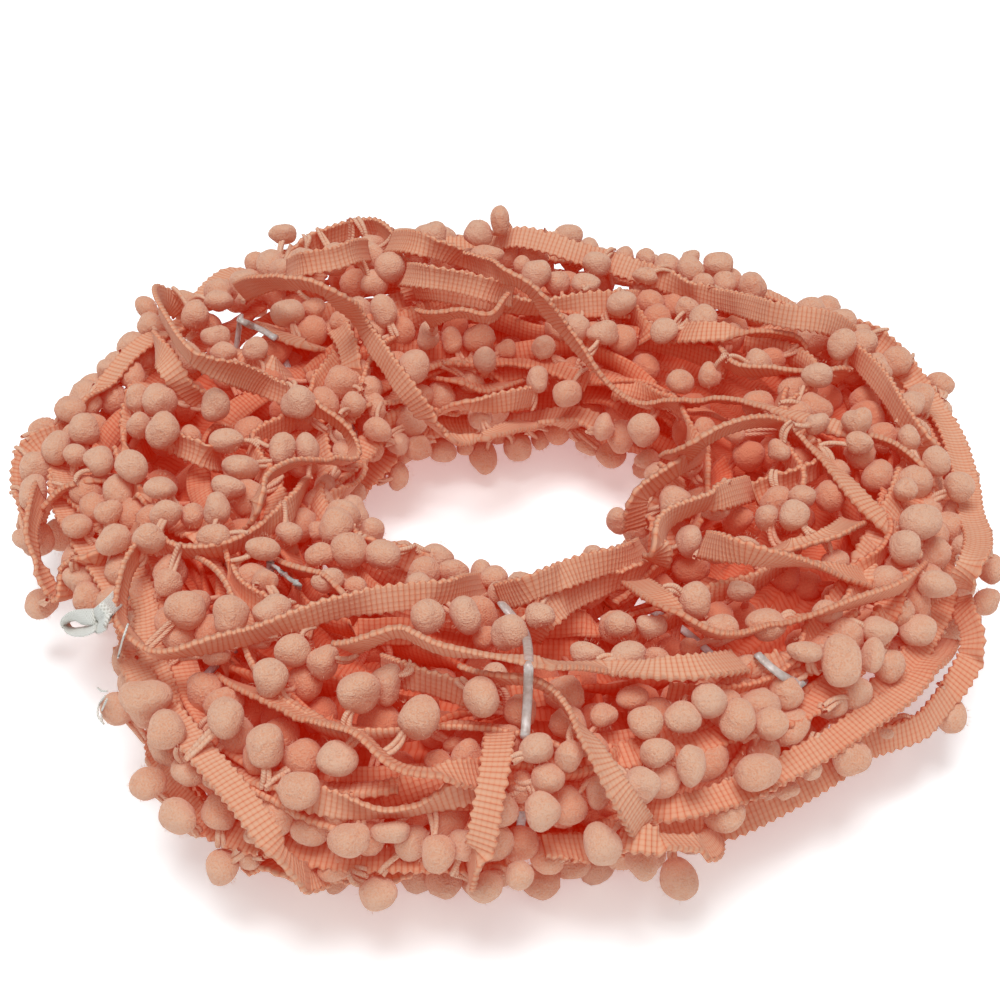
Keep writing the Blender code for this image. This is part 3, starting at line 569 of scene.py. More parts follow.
def add_tape(batch, turn, section, step):
    """Sweep the tape's section along a turn, with raised ribs and an edge scallop at every two."""
    count = max(5, int(turn.lengths[-1] / step))
    lengths = np.linspace(0, turn.lengths[-1], count)
    points, _, across, facing = turn.at(lengths)
    steps = np.arange(count)
    ribbed = step < RIB_PITCH * 0.7
    rib = np.cos(steps * math.pi) * ribbed
    loop = np.cos(steps * math.pi / 2) * ribbed
    edge = np.abs(section[:, 0]) > SECTION_HALF * 0.85
    wide = section[None, :, 0] / SECTION_HALF * (TAPE_HALF + loop[:, None] * edge * SCALLOP)
    raised = np.sign(section[:, 1]) * RIB_RAISE
    deep = section[None, :, 1] + rib[:, None] * raised[None, :]
    deep = deep + turn.cup * (section[None, :, 0] / SECTION_HALF) ** 2 * 0.8
    ring = points[:, None, :] + across[:, None, :] * wide[..., None] + facing[:, None, :] * deep[..., None]
    flat = section[None, :, 0] + BACK_SHIFT * (section[None, :, 1] < 0)
    batch.add_tube(ring, np.stack(np.broadcast_arrays(steps[:, None] * step, flat), axis=-1), turn.tone_and_painted_shade)


def ball_shape(columns, rows):
    """Unit ball: directions and faces, with its two poles."""
    lat = np.linspace(-math.pi / 2, math.pi / 2, rows + 1)[1:-1]
    lon = np.arange(columns) * 2 * math.pi / columns
    body = np.stack((np.cos(lat)[:, None] * np.cos(lon), np.cos(lat)[:, None] * np.sin(lon),
                     np.broadcast_to(np.sin(lat)[:, None], (len(lat), columns))), axis=-1).reshape(-1, 3)
    points = np.vstack((body, (0, 0, -1), (0, 0, 1)))
    quads = grid_faces(rows - 1, columns)
    last = (rows - 2) * columns
    around_pole = np.arange(columns)
    after = (around_pole + 1) % columns
    low = np.stack((after, around_pole, np.full(columns, len(body))), axis=-1)
    high = np.stack((last + around_pole, last + after, np.full(columns, len(body) + 1)), axis=-1)
    return points, quads, np.vstack((low, high))


def lumps(chance, directions, size, waves=5, pitch=2.4):
    """Low random bumps over a ball."""
    total = np.zeros(len(directions))
    for _ in range(waves):
        way = unit(chance.normal(size=3)) * pitch * chance.uniform(0.7, 1.5)
        total += np.sin(directions @ way + chance.uniform(0, 6.3))
    return total / waves * size


def add_pompom(batch, shape, centre, root, radius, stretch, chance):
    """One felted ball, a little out of round, with its pole at the cord."""
    directions, quads, tips = shape
    axis = unit(root - centre)
    side = unit(np.cross(axis, chance.normal(size=3)))
    other = np.cross(axis, side)
    squash = chance.uniform(0.93, 1.05, 3)
    swell = 1.0 + lumps(chance, directions, 0.27, 4, 2.6) + lumps(chance, directions, 0.06, 6, 5.0)
    dimple = np.exp(-((1.0 - directions[:, 2]) / 0.05)) * 0.09
    local = directions * (swell - dimple)[:, None] * squash * radius
    points = local[:, :1] * side + local[:, 1:2] * other + local[:, 2:] * axis
    for way, amount in zip((VIEW_RIGHT, VIEW_UP), stretch):
        points = points + (points @ way)[:, None] * way * (amount - 1.0)
    start = batch.count
    # Random tone, less the depth inside the hank: deeper pompoms are painted darker and redder, as painted
    # shade
    batch.add(centre + points, quads, directions[:, :2] * 10, chance.uniform(0, 1) - deepness(centre))
    batch.faces.append(tips + start)


def view_places(rows):
    """Middles and half sizes in millimetres of what is read from the photograph."""
    half_view = SENSOR_WIDTH / CAMERA_LENS / PHOTO_WIDTH
    x, y, wide, high, sink = np.array(rows, float).T
    ways = VIEW_FORWARD + ((x - PHOTO_WIDTH / 2) * half_view)[:, None] * VIEW_RIGHT \
        + ((PHOTO_WIDTH / 2 - y) * half_view)[:, None] * VIEW_UP
    steps = np.arange(400.0, 800.0, 0.5)
    middles, distances = [], []
    for way, depth in zip(ways, sink):
        line = CAMERA_PLACE + way * steps[:, None]
        size = form_size(line, np.full(len(steps), -depth))
        inside = np.nonzero(size < 1.0)[0]
        pick = inside[0] if len(inside) else np.argmin(size)
        low = np.nonzero(line[:, 2] < POMPOM_RADIUS)[0]
        pick = min(pick, low[0]) if len(low) else pick
        middles.append(line[pick])
        distances.append(steps[pick])
    scale = np.array(distances) * half_view
    return np.array(middles), wide * scale, high * scale, unit(ways)


def edge_points(turns):
    """Points along the pompom edge of every tape."""
    edges = np.vstack([turn.points[::2] + turn.across[::2] * turn.side * TAPE_HALF for turn in turns])
    edges[:, 2] = np.maximum(edges[:, 2], ROOT_CLEAR)
    return edges


def nearest_roots(middles, edges, reach):
    """The edge point about a cord's length from each pompom."""
    roots = []
    for middle in middles:
        distance = np.linalg.norm(edges - middle, axis=1)
        roots.append(edges[np.argmin(np.abs(distance - reach))])
    return np.array(roots)


def hook_pompoms(turns, chance, pitch, low, high):
    """Roots and first places of pompoms along the edge of each tape, pushed up or down by a share."""
    roots, ways = [], []
    for turn in turns:
        lengths = np.arange(chance.uniform(3, 9), turn.lengths[-1] - 2, pitch)
        if len(lengths) == 0:
            continue
        lengths = lengths + chance.uniform(-1.2, 1.2, len(lengths))
        points, along, across, _ = turn.at(lengths)
        normal = read_at(lengths, turn.lengths, turn.normals)
        roots.append(points + across * turn.side * TAPE_HALF)
        swing = chance.uniform(-0.6, 0.6, (len(lengths), 1))
        lean = chance.uniform(low, high, (len(lengths), 1))
        ways.append(unit(across * turn.side + along * swing + normal * lean))
    roots = np.vstack(roots)
    roots[:, 2] = np.maximum(roots[:, 2], ROOT_CLEAR)
    return roots, np.vstack(ways)


def form_parts(points):
    """Middle radius, half width and half height of the form around each point, and its radius."""
    theta = np.degrees(np.arctan2(points[:, 1], points[:, 0]))
    inner, outer, height = (around(v, theta) for v in (HOLE_RADIUS, OUTER_RADIUS, HEIGHT))
    return (inner + outer) / 2, (outer - inner) / 2, height / 2, np.hypot(points[:, 0], points[:, 1])


def form_size(points, margins):
    """How far out each point is: 1 on the hank's outer form grown by a margin."""
    middle, half, level, radial = form_parts(points)
    across = np.abs(radial - middle) / (half + margins)
    upward = np.abs(points[:, 2] - level) / (level + margins)
    return (across ** (2 / ROUNDNESS) + upward ** (2 / ROUNDNESS)) ** (ROUNDNESS / 2)


def from_middle(points):
    """Where each point is from the middle line of the hank."""
    middle, _, level, radial = form_parts(points)
    outward = points * np.array((1.0, 1.0, 0.0)) / radial[:, None]
    return outward * (radial - middle)[:, None] + np.array((0, 0, 1.0)) * (points[:, 2] - level)[:, None]


def inside_form(centres, margins):
    """Push of each point back into the hank's outer form grown by a margin."""
    size = form_size(centres, margins)
    over = np.maximum(size - 1.0, 0.0) / np.maximum(size, 1e-6)
    return -from_middle(centres) * over[:, None]


def deepness(point):
    """How far inside the hank a point is, in steps of the painted shade depth past the first pompoms; deeper
    parts are painted darker as painted shade.
    """
    size = form_size(point[None, :], np.zeros(1))[0]
    _, half, _, _ = form_parts(point[None, :])
    return max(0.0, (1.0 - size) * half[0] - 6.0) / PAINTED_SHADE_DEPTH


def faces_camera(points):
    """True where the hank's form at a point is turned to the camera and not hidden by its far side."""
    return (unit(from_middle(points)) * unit(CAMERA_PLACE - points)).sum(axis=1) > -0.05


def near_pairs(centres, places):
    """Every pair of a centre and a place within reach of it."""
    pairs = []
    for k, centre in enumerate(centres):
        gap = places - centre
        found = np.nonzero((gap ** 2).sum(axis=1) < NEAR_REACH ** 2)[0]
        pairs.append(np.stack((np.full(len(found), k), found), axis=1))
    return np.vstack(pairs)


def push_off_tapes(centres, radii, boxes, pairs):
    """Mean push of each pompom out of the short boxes of tape near it."""
    which, tape = pairs.T
    half = np.array((1.1, TAPE_HALF, HALF_THICKNESS))
    offset = centres[which] - boxes[0][tape]
    local = np.stack([(offset * boxes[k][tape]).sum(axis=1) for k in (1, 2, 3)], axis=1)
    away = local - np.clip(local, -half, half)
    distance = np.linalg.norm(away, axis=1)
    depth = np.maximum(radii[which] - 0.3 - distance, 0.0)
    sideways = away / np.maximum(distance, 1e-6)[:, None]
    buried = distance < 1e-5
    zeros = np.zeros(buried.sum())
    sideways[buried] = np.stack((zeros, zeros, np.sign(local[buried, 2] + 1e-9)), 1)
    push = sum(sideways[:, k:k + 1] * boxes[k + 1][tape] for k in range(3)) * depth[:, None]
    move = np.zeros_like(centres)
    weight = np.zeros(len(centres))
    np.add.at(move, which, push)
    np.add.at(weight, which, (depth > 0).astype(float))
    return move / np.maximum(weight, 1.0)[:, None]


def push_off_balls(centres, radii, pinned):
    """Push of each pompom out of the others, with little on those that keep their place."""
    gap = centres[:, None, :] - centres[None, :, :]
    distance = np.linalg.norm(gap, axis=2) + np.eye(len(centres)) * 99
    overlap = np.maximum((radii[:, None] + radii[None, :]) * 0.96 - distance, 0.0)
    overlap[pinned[:, None] & ~pinned[None, :]] *= 0.2
    return (gap / distance[..., None] * overlap[..., None] * 0.5).sum(axis=1)


def settle(centres, roots, radii, margins, views, turns, rounds):
    """Let the pompoms push off each other, the tapes and the floor, held by their cords.

    Those with a view direction keep their place in the photograph and mostly move along it.
    """
    home = centres.copy()
    pinned = np.linalg.norm(views, axis=1) > 0.5
    boxes = [np.concatenate([getattr(turn, field)[::2] for turn in turns])
             for field in ("points", "along", "across", "facing")]
    for step in range(rounds):
        if step % 8 == 0:
            pairs = near_pairs(centres, boxes[0])
        move = push_off_tapes(centres, radii, boxes, pairs) + push_off_balls(centres, radii, pinned)
        tether = centres - roots
        length = np.linalg.norm(tether, axis=1)
        wanted = np.clip(length, REACH_SHORT, REACH_LONG)
        move += tether / length[:, None] * (wanted - length)[:, None] * (0.7 * ~pinned)[:, None]
        move += inside_form(centres, margins) * (0.5 * ~pinned)[:, None]
        centres = centres + np.clip(move, -2.0, 2.0) * 0.7
        shift = centres - home
        along = np.clip((shift * views).sum(axis=1), -5.0, 4.0)[:, None] * views
        aside = shift - (shift * views).sum(axis=1)[:, None] * views
        centres[pinned] = (home + along + aside * 0.4)[pinned]
        centres[:, 2] = np.maximum(centres[:, 2], radii * 0.97)
    return centres


def add_yarns(batch, root, centre, radius, chance, sides=5, steps=6):
    """The doubled cord from the tape's edge to the pompom."""
    way = unit(centre - root)
    side = unit(np.cross(way, chance.normal(size=3)))
    lift = np.cross(way, side)
    tip = centre - way * radius * 0.8
    bow = side * chance.uniform(-1.2, 1.2) + lift * chance.uniform(-1.2, 1.2)
    t = np.linspace(0, 1, steps)[:, None]
    start = root - way * 0.6
    middle = start * (1 - t) + tip * t + bow * (4 * t * (1 - t))
    turn = chance.uniform(0, 3.1)
    ring = np.arange(sides) * 2 * math.pi / sides
    faces = grid_faces(steps, sides)
    for hand in (0.0, math.pi):
        spin = turn + hand + t[:, 0] * 1.5
        spread = YARN_RADIUS * (1.0 - 0.35 * t[:, 0])
        line = middle + side * (np.cos(spin) * spread)[:, None] + lift * (np.sin(spin) * spread)[:, None]
        thick = YARN_RADIUS * np.array([0.8] + [1.0] * (steps - 2) + [0.9])
        rim = side * np.cos(ring)[:, None] + lift * np.sin(ring)[:, None]
        tube = line[:, None, :] + rim[None] * thick[:, None, None]
        tube[..., 2] = np.maximum(tube[..., 2], FLOOR_CLEAR)
        corners = np.stack(np.broadcast_arrays(t * 9, ring[None, :]), axis=-1)
        # Deeper cords are painted darker and redder, as painted shade
        batch.add(tube.reshape(-1, 3), faces, corners.reshape(-1, 2), 0.5 - deepness(middle.mean(axis=0)))


def add_fuzz(batch, centre, radius, chance, count):
    """Short loose fibres that stand off a pompom, one thin triangle each."""
    way = unit(chance.normal(size=(count, 3)))
    side = unit(np.cross(way, chance.normal(size=(count, 3))))
    foot = centre + way * radius * 0.96
    reach = radius * 0.06 + chance.uniform(0.2, 1.0, (count, 1))
    tip = foot + way * reach + side * chance.uniform(-0.5, 0.5, (count, 1))
    width = side * 0.07
    points = np.stack((foot - width, foot + width, tip), axis=1).reshape(-1, 3)
    faces = np.arange(count * 3).reshape(-1, 3)
    batch.add(points, faces, np.zeros((len(points), 2)), 0.5)


def over_tapes(points, turns, gap):
    """Draw points back toward the camera until they clear every tape behind them."""
    spots = np.vstack([turn.points[::2] + turn.across[::2] * edge for turn in turns
                       for edge in (-TAPE_HALF, 0.0, TAPE_HALF)])
    views = unit(points - CAMERA_PLACE)
    shifts = []
    for point, view in zip(points, views):
        offset = spots - point
        along = offset @ view
        aside = np.linalg.norm(offset - along[:, None] * view, axis=1)
        close = (aside < 3.0) & (np.abs(along) < 22.0)
        shifts.append(along[close].min() - gap if close.any() else 0.0)
    return points + views * windowed(np.array(shifts), 3, np.mean)[:, None]


def smooth_line(points, count):
    """Evenly spaced points on a smooth open curve through the given ones."""
    points = np.array(points, float)
    ends = with_ends(points)
    t = np.linspace(0, 1, 12, endpoint=False)[:, None]
    fine = [blend(*four, t) for four in zip(ends, ends[1:], ends[2:], ends[3:])]
    fine = np.vstack(fine + [points[-1:]])
    lengths = lengths_along(fine)
    return read_at(np.linspace(0, lengths[-1], count), lengths, fine)


def seen_line(pixels, turns, count, gap):
    """Points over the tapes along a line read from the photograph."""
    pixels = smooth_line(pixels, count)
    rows = [(x, y, 1, 1, -2.0) for x, y in pixels]
    return over_tapes(view_places(rows)[0], turns, gap)


def add_strip(batch, points, across, half_width, half_thick, sides=12, tone_and_painted_shade=0.5):
    """Sweep a flattened round section along points, as wide as across says."""
    along = unit(np.gradient(points, axis=0))
    across = unit(across - (across * along).sum(axis=1)[:, None] * along)
    facing = np.cross(along, across)
    ring = np.arange(sides) * 2 * math.pi / sides
    rim = points[:, None, :] + across[:, None, :] * (rounded(np.cos(ring)) * half_width)[None, :, None] \
        + facing[:, None, :] * (rounded(np.sin(ring)) * half_thick)[None, :, None]
    flat = (lengths_along(points)[:, None], (np.cos(ring) * half_width)[None, :])
    batch.add_tube(rim, np.stack(np.broadcast_arrays(*flat), axis=-1), tone_and_painted_shade)


def tie_ribbon(theta, pixels, turns):
    """Thin clear strip drawn round the section, on top of the turns where the photograph shows it."""
    shown = seen_line(pixels, turns, 26, 1.2)
    ends = shown[[0, -1]]
    dives = ends + unit(ends - CAMERA_PLACE) * TIE_DIVE
    middle, _, level, radial = form_parts(ends)
    angles = np.degrees(np.arctan2(ends[:, 2] - level, radial - middle))
    ways = np.linspace(angles[1] - TIE_TURN, angles[0] + TIE_TURN - 360.0, 15)
    hidden = surface(np.full(len(ways), theta), ways, np.full(len(ways), TIE_SINK))
    hidden[:, 2] = np.maximum(hidden[:, 2], TIE_THICK)
    line = smooth_line(np.vstack((dives[:1], shown[::3], shown[-1:], dives[1:], hidden, dives[:1])), 150)
    turn = math.radians(theta)
    forward = np.broadcast_to((-math.sin(turn), math.cos(turn), 0.0), line.shape)
    batch = Batch()
    add_strip(batch, line, forward, TIE_WIDTH / 2, TIE_THICK / 2)
    return batch


def woven_end(turns):
    """Folded end of white woven tie that comes out between the turns, with a few loose threads."""
    line = seen_line(WOVEN_ROUTE, turns, 90, 1.4)
    views = unit(line - CAMERA_PLACE)
    along = unit(np.gradient(line, axis=0))
    flat = np.cross(along, views)
    turned = np.clip((np.linspace(0, 1, len(line)) - 0.35) / 0.2, 0.0, 0.85)[:, None]
    across = unit(flat) * (1 - turned) + views * turned
    tuck = np.clip(1.0 - np.linspace(0, 5, len(line)), 0.0, 1.0)[:, None] * WOVEN_TUCK
    batch = Batch()
    add_strip(batch, line + views * (turned + tuck), across, WOVEN_HALF, WOVEN_THICK, 16)
    for pixels in WOVEN_THREADS:
        thread = seen_line(pixels, turns, 14, 1.0)
        add_strip(batch, thread, np.broadcast_to(VIEW_RIGHT, thread.shape), THREAD_RADIUS, THREAD_RADIUS, 6)
    return batch


def wound_core(sink=25.0, rows=180, columns=72, strands=18, ridge=1.6):
    """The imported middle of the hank: a bundle of edges with the lie of the turns round it."""
    theta = np.arange(rows) * 360.0 / rows
    phi = np.arange(columns) * 360.0 / columns
    grid_theta, grid_phi = np.meshgrid(theta, phi, indexing="ij")
    turned = np.radians(grid_phi + grid_theta)
    deep = sink + ridge * np.cos(turned * strands) + 2.5 * np.sin(turned * 3 + 1.0) + 2.0 * np.sin(turned * 5)
    points = surface(grid_theta.ravel(), grid_phi.ravel(), deep.ravel())
    points[:, 2] = np.maximum(points[:, 2], 3.0)
    quads = grid_faces(rows + 1, columns) % (rows * columns)
    corners = np.stack((grid_theta.ravel() * 1.6, grid_phi.ravel() / 6.0), axis=1)
    batch = Batch()
    # A low value paints the whole core in the dark red of painted shade
    batch.add(points, quads, corners, -2.0)
    return batch


def nodes_of(material):
    tree = material.node_tree
    return tree, tree.nodes["Principled BSDF"]


def new_material(name):
    material = bpy.data.materials.new(name)
    material.use_nodes = True
    return material


def link_bump(tree, shader, height, strength, distance):
    bump = tree.nodes.new("ShaderNodeBump")
    bump.inputs["Strength"].default_value = strength
    bump.inputs["Distance"].default_value = distance * MM
    tree.links.new(height, bump.inputs["Height"])
    tree.links.new(bump.outputs["Normal"], shader.inputs["Normal"])


def noise_node(tree, coordinate, scale, detail=3.0):
    noise = tree.nodes.new("ShaderNodeTexNoise")
    noise.inputs["Scale"].default_value = scale
    noise.inputs["Detail"].default_value = detail
    tree.links.new(coordinate, noise.inputs["Vector"])
    return noise.outputs["Fac"]


def math_node(tree, kind, *values):
    node = tree.nodes.new("ShaderNodeMath")
    node.operation = kind
    for socket, value in zip(node.inputs, values):
        if isinstance(value, (int, float)):
            socket.default_value = value
        else:
            tree.links.new(value, socket)
    return node.outputs[0]


def ramp_colour(tree, value, stops):
    ramp = tree.nodes.new("ShaderNodeValToRGB")
    while len(ramp.color_ramp.elements) < len(stops):
        ramp.color_ramp.elements.new(0.5)
    for element, (place, colour) in zip(ramp.color_ramp.elements, stops):
        element.position = place
        element.color = (*colour, 1.0)
    tree.links.new(value, ramp.inputs["Fac"])
    return ramp.outputs["Color"]


FELT_PALE = (0.53, 0.41, 0.295)
FELT_CORAL = (0.525, 0.355, 0.235)
FELT_DEEP = (0.52, 0.29, 0.175)
TAPE_PALE = (0.53, 0.39, 0.27)
TAPE_CORAL = (0.53, 0.305, 0.185)
# Darker red painted into the tape's grooves and pits, as painted shade
TAPE_GROOVE_SHADE = (0.50, 0.15, 0.07)
YARN_PALE = (0.54, 0.44, 0.32)
# Dark red painted into the deep turns, pompoms, cords and core as painted shade
PAINTED_SHADE_RED = (0.52, 0.06, 0.02)
# Painted red glow of the coral cloth, which lifts its shade as light passed through it would
PAINTED_GLOW = (1.0, 0.02, 0.0, 1.0)
PAINTED_GLOW_STRENGTH = 0.15
SHEEN_TINT = (1.0, 0.72, 0.60, 1.0)
FLOOR_COLOUR = (0.88, 0.96, 0.98, 1.0)
FLOOR_GLOW = 0.32
ROOM_LIGHT = 0.30

# Area lights: name, place in metres, size and power
LIGHTS = (("key", (-0.15, -0.35, 2.6), 1.2, 52.0), ("fill", (0.25, -1.5, 2.2), 1.8, 14.0))


def coral_cloth(name, roughness, specular, sheen):
    """Bright cloth with a painted red glow that lights its shaded side, standing in for light passed through
    the cloth.
    """
    material = new_material(name)
    tree, shader = nodes_of(material)
    for socket, value in (("Emission Color", PAINTED_GLOW), ("Emission Strength", PAINTED_GLOW_STRENGTH),
                          ("Roughness", roughness), ("Specular IOR Level", specular),
                          ("Sheen Weight", sheen), ("Sheen Roughness", 0.5), ("Sheen Tint", SHEEN_TINT)):
        shader.inputs[socket].default_value = value
    return material, tree, shader


def cloth_place(tree):
    """Places along and across the cloth in millimetres."""
    flat = tree.nodes.new("ShaderNodeUVMap")
    flat.uv_map = "cloth_mm"
    split = tree.nodes.new("ShaderNodeSeparateXYZ")
    tree.links.new(flat.outputs["UV"], split.inputs["Vector"])
    return split.outputs["X"], split.outputs["Y"]


def object_place(tree):
    return tree.nodes.new("ShaderNodeTexCoord").outputs["Object"]


def ridges(tree, place, pitch, power):
    """Rounded ridges with narrow grooves, one to a pitch."""
    wave = math_node(tree, "COSINE", math_node(tree, "MULTIPLY", place, 2 * math.pi / pitch))
    return math_node(tree, "POWER", math_node(tree, "MULTIPLY_ADD", wave, 0.5, 0.5), power)


def tone_and_painted_shade_value(tree):
    attribute = tree.nodes.new("ShaderNodeAttribute")
    attribute.attribute_name = "tone_and_painted_shade"
    return attribute.outputs["Fac"]


def with_painted_depth_shade(tree, colour, limit):
    """Paint shade: turn a colour toward the dark red of painted shade where the tone-and-shade value is below
    zero, deep inside the hank.
    """
    share = tree.nodes.new("ShaderNodeMapRange")
    tree.links.new(tone_and_painted_shade_value(tree), share.inputs["Value"])
    share.inputs["From Min"].default_value = 0.3
    share.inputs["From Max"].default_value = -2.6
    share.inputs["To Min"].default_value = 0.0
    share.inputs["To Max"].default_value = limit
    mix = tree.nodes.new("ShaderNodeMix")
    mix.data_type = "RGBA"
    tree.links.new(share.outputs["Result"], mix.inputs[0])
    tree.links.new(colour, mix.inputs[6])
    mix.inputs[7].default_value = (*PAINTED_SHADE_RED, 1.0)
    return mix.outputs[2]


def felt_material():
    """Soft felted acrylic ball."""
    material, tree, shader = coral_cloth("coral_felt", 0.95, 0.15, 0.4)
    place = object_place(tree)
    fibres = noise_node(tree, place, 2100.0, 3.0)
    clumps = noise_node(tree, place, 380.0, 2.0)
    tone = math_node(tree, "MULTIPLY_ADD", tone_and_painted_shade_value(tree), 0.1,
                     math_node(tree, "MULTIPLY_ADD", fibres, 0.8, math_node(tree, "MULTIPLY", clumps, 0.2)))
    colour = ramp_colour(tree, tone, ((0.34, FELT_DEEP), (0.48, FELT_CORAL), (0.62, FELT_PALE)))
    # Deeper pompoms are painted darker and redder, as painted shade
    tree.links.new(with_painted_depth_shade(tree, colour, 0.35), shader.inputs["Base Color"])
    height = math_node(tree, "ADD", fibres, math_node(tree, "MULTIPLY", clumps, 1.5))
    link_bump(tree, shader, height, 0.85, 0.6)
    return material


def tape_material():
    """Ribbed woven tape with plump crosswise ribs and lengthwise binding threads."""
    material, tree, shader = coral_cloth("coral_tape", 0.85, 0.2, 0.08)
    length, width = cloth_place(tree)
    rib = ridges(tree, length, RIB_PITCH, 0.14)
    row = ridges(tree, width, ROW_PITCH, 0.18)
    pair = math_node(tree, "COSINE", math_node(tree, "MULTIPLY", length, math.pi / RIB_PITCH))
    pair = math_node(tree, "MULTIPLY", math_node(tree, "ABSOLUTE", pair), 0.25)
    back = math_node(tree, "GREATER_THAN", width, BACK_SHIFT / 2)
    strength = math_node(tree, "MULTIPLY_ADD", back, 1.0 - FRONT_ROWS, FRONT_ROWS)
    rows = math_node(tree, "MULTIPLY", strength, math_node(tree, "SUBTRACT", 1.0, row))
    place = object_place(tree)
    fibres = noise_node(tree, place, 1500.0)
    threads = math_node(tree, "MULTIPLY", rows, 0.55)
    weave = math_node(tree, "SUBTRACT", math_node(tree, "ADD", rib, pair), threads)
    height = math_node(tree, "ADD", weave, math_node(tree, "MULTIPLY", fibres, 0.4))
    link_bump(tree, shader, height, 0.55, 0.4)
    patches = noise_node(tree, place, 90.0, 2.0)
    # Grooves and pits between ribs and threads are painted darker and rib crests paler, as painted shade and
    # light, beside random patches of tone
    tone = math_node(tree, "ADD", math_node(tree, "MULTIPLY", weave, 0.5),
                     math_node(tree, "ADD", math_node(tree, "MULTIPLY", patches, 0.3),
                               math_node(tree, "MULTIPLY", tone_and_painted_shade_value(tree), 0.1)))
    colour = ramp_colour(tree, tone, ((0.2, TAPE_GROOVE_SHADE), (0.6, TAPE_CORAL), (0.92, TAPE_PALE)))
    tree.links.new(with_painted_depth_shade(tree, colour, 0.55), shader.inputs["Base Color"])
    return material


def yarn_material():
    """Soft twisted yarn of the doubled cords."""
    material, tree, shader = coral_cloth("coral_yarn", 0.9, 0.15, 0.0)
    length, width = cloth_place(tree)
    turned = math_node(tree, "MULTIPLY_ADD", length, 3.2, width)
    twist = math_node(tree, "SINE", math_node(tree, "MULTIPLY", turned, 2.0))
    fibres = noise_node(tree, object_place(tree), 1500.0)
    height = math_node(tree, "MULTIPLY_ADD", twist, 0.4, fibres)
    link_bump(tree, shader, height, 0.6, 0.25)
    colour = ramp_colour(tree, fibres, ((0.25, TAPE_CORAL), (0.6, YARN_PALE)))
    # Deeper cords are painted darker and redder, as painted shade
    tree.links.new(with_painted_depth_shade(tree, colour, 0.5), shader.inputs["Base Color"])
    return material


def tie_material():
    """Thin clear plastic with a milky haze."""
    material = new_material("clear_tie")
    tree, shader = nodes_of(material)
    haze = noise_node(tree, object_place(tree), 500.0, 2.0)
    colour = ramp_colour(tree, haze, ((0.35, (0.62, 0.56, 0.51)), (0.65, (0.86, 0.84, 0.81))))
    tree.links.new(colour, shader.inputs["Base Color"])
    link_bump(tree, shader, haze, 0.3, 0.2)
    shader.inputs["Roughness"].default_value = 0.28
    shader.inputs["Transmission Weight"].default_value = 0.5
    shader.inputs["IOR"].default_value = 1.45
    return material


def webbing_material():
    """Plain white woven webbing."""
    material = new_material("white_webbing")
    tree, shader = nodes_of(material)
    over, beside = (math_node(tree, "SINE", math_node(tree, "MULTIPLY", way, 2 * math.pi / WOVEN_PITCH))
                    for way in cloth_place(tree))
    weave = math_node(tree, "MULTIPLY_ADD", math_node(tree, "MULTIPLY", over, beside), 0.5, 0.5)
    # The weave's low cells are painted darker than its raised ones, as painted shade
    colour = ramp_colour(tree, weave, ((0.1, (0.50, 0.48, 0.42)), (0.6, (0.74, 0.73, 0.68))))
    tree.links.new(colour, shader.inputs["Base Color"])
    link_bump(tree, shader, weave, 0.6, 0.3)
    shader.inputs["Roughness"].default_value = 0.9
    shader.inputs["Sheen Weight"].default_value = 0.2
    return material


def floor_and_lights():
    """Plain pale floor, wide soft lights from above and from the front, and an even room."""
    bpy.ops.mesh.primitive_plane_add(size=6.0, location=(0, 0, 0))
    floor = bpy.context.object
    floor.name = "floor"
    material = new_material("pale_floor")
    _, shader = nodes_of(material)
    shader.inputs["Base Color"].default_value = FLOOR_COLOUR
    shader.inputs["Roughness"].default_value = 0.9
    shader.inputs["Emission Color"].default_value = (1.0, 1.0, 1.0, 1.0)
    shader.inputs["Emission Strength"].default_value = FLOOR_GLOW
    floor.data.materials.append(material)
    world = bpy.data.worlds.new("room")
    world.use_nodes = True
    world.node_tree.nodes["Background"].inputs["Color"].default_value = (1.0, 1.0, 1.0, 1.0)
    world.node_tree.nodes["Background"].inputs["Strength"].default_value = ROOM_LIGHT
    bpy.context.scene.world = world
    bpy.context.scene.view_settings.view_transform = "Standard"
    for name, place, size, power in LIGHTS:
        light = bpy.data.lights.new(name, "AREA")
        light.size = size
        light.energy = power
        thing = bpy.data.objects.new(name, light)
        thing.location = place
        aim = -np.array(place) / np.linalg.norm(place)
        thing.rotation_euler = (math.acos(-aim[2]), 0.0, math.atan2(-aim[0], aim[1]))
        bpy.context.collection.objects.link(thing)


def camera():
    lens = bpy.data.cameras.new("camera")
    lens.sensor_width = SENSOR_WIDTH
    lens.lens = CAMERA_LENS
    thing = bpy.data.objects.new("camera", lens)
    thing.location = (CAMERA_PLACE + RING_CENTRE) * MM
    thing.rotation_euler = (math.radians(CAMERA_PITCH), 0.0, 0.0)
    bpy.context.collection.objects.link(thing)
    bpy.context.scene.camera = thing


def add_piece(batch, name, material, nodes=()):
    """Make a batch into one piece that rides on the hank's body."""
    thing = batch.build(name, material)
    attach(thing, "root")
    if nodes:
        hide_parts(*nodes)
    print(name, batch.triangles(), "triangles")
    return thing


def lay_tapes(seen, under, tape):
    """Make the seen turns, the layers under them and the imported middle."""
    turn_nodes = [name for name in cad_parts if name.startswith("turn_")]
    runs = (("seen_tape", seen, FINE_SECTION, RIB_PITCH / 2, turn_nodes),
            ("under_tape", under[0], MIDDLE_SECTION, RIB_PITCH / 2, ["hank"]),
            ("deep_tape", under[1] + under[2], PLAIN_SECTION, RIB_PITCH * 1.5, []))
    for name, turns, section, step, nodes in runs:
        batch = Batch()
        for turn in turns:
            add_tape(batch, turn, section, step)
        add_piece(batch, name, tape, nodes)
    add_piece(wound_core(), "wound_core", tape)


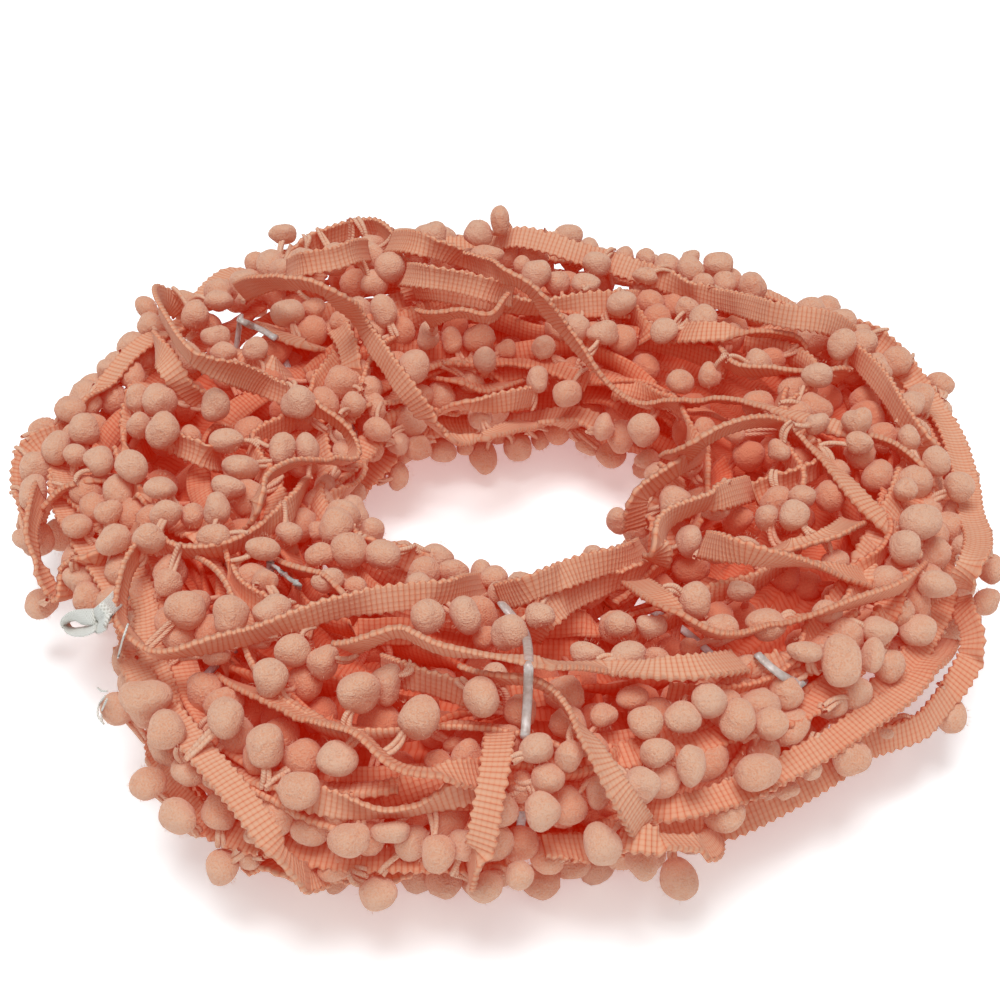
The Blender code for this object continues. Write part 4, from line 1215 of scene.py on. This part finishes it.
def place_pompoms(seen, under, chance):
    """Places, roots and sizes of the pompoms, and how many are photographed and how many lie near."""
    middles, wide, high, views = view_places(SEEN_POMPOMS)
    edges = edge_points(seen + under[0])
    photo_roots = nearest_roots(middles, edges, CORD_REACH)
    round_roots, ways = hook_pompoms(seen, chance, POMPOM_PITCH, -0.1, 0.8)
    keep = ~faces_camera(round_roots)
    under_roots, under_ways = hook_pompoms(under[0], chance, POMPOM_PITCH * 1.6, -0.7, 0.4)
    deep_roots, deep_ways = hook_pompoms(under[1] + under[2], chance, POMPOM_PITCH * 2.0, -0.5, 0.6)
    roots = np.vstack((photo_roots, round_roots[keep], under_roots, deep_roots))
    ways = np.vstack((ways[keep], under_ways, deep_ways))
    photo_count, count = len(middles), len(roots)
    radii = POMPOM_RADIUS * chance.uniform(0.9, 1.06, count)
    radii[:photo_count] = np.sqrt(wide * high)
    stretch = np.ones((count, 2))
    stretch[:photo_count] = np.stack((wide, high), axis=1) / radii[:photo_count, None]
    margins = np.where(faces_camera(roots), -9.0, -2.5)
    directions = np.vstack((views, np.zeros((count - photo_count, 3))))
    centres = np.vstack((middles, roots[photo_count:] + ways * chance.uniform(8.0, 10.5, (len(ways), 1))))
    rounds = 48
    centres = settle(centres, roots, radii, margins, directions, sum(under, seen), rounds)
    roots[:photo_count] = nearest_roots(centres[:photo_count], edges, CORD_REACH)
    return centres, roots, radii, stretch, photo_count, count - len(deep_roots)


def hang_pompoms(seen, under, felt):
    """Make the pompoms, finest where the photograph shows them, with their cords and loose fibres."""
    chance = np.random.default_rng(8)
    centres, roots, radii, stretch, photo_count, near_count = place_pompoms(seen, under, chance)
    shapes = (ball_shape(22, 14), ball_shape(18, 11), ball_shape(10, 7))
    balls = [Batch() for _ in shapes]
    yarns, fuzz = Batch(), Batch()
    for k, (centre, root, radius) in enumerate(zip(centres, roots, radii)):
        group = 0 if k < photo_count else 1 if k < near_count else 2
        add_pompom(balls[group], shapes[group], centre, root, radius, stretch[k], chance)
        if k < near_count:
            add_fuzz(fuzz, centre, radius, chance, FUZZ_COUNT)
        add_yarns(yarns, root, centre, radius, chance)
    for group, name in zip(balls, ("pompoms_near", "pompoms_round", "pompoms_deep")):
        add_piece(group, name, felt)
    add_piece(yarns, "cords", yarn_material())
    add_piece(fuzz, "pompom_fuzz", felt)


def draw_ties(turns):
    """Make the clear ties and the folded woven end."""
    clear = tie_material()
    for node, theta, pixels in TIES:
        add_piece(tie_ribbon(theta, pixels, turns), node + "_ribbon", clear, [node])
    add_piece(woven_end(turns), "woven_end", webbing_material(), ["tie_woven_end"])


def main():
    seen = seen_turns()
    under = [under_turns(*row) for row in UNDER_LAYERS]
    lay_tapes(seen, under, tape_material())
    hang_pompoms(seen, under, felt_material())
    draw_ties(seen + under[0])
    floor_and_lights()
    camera()


main()
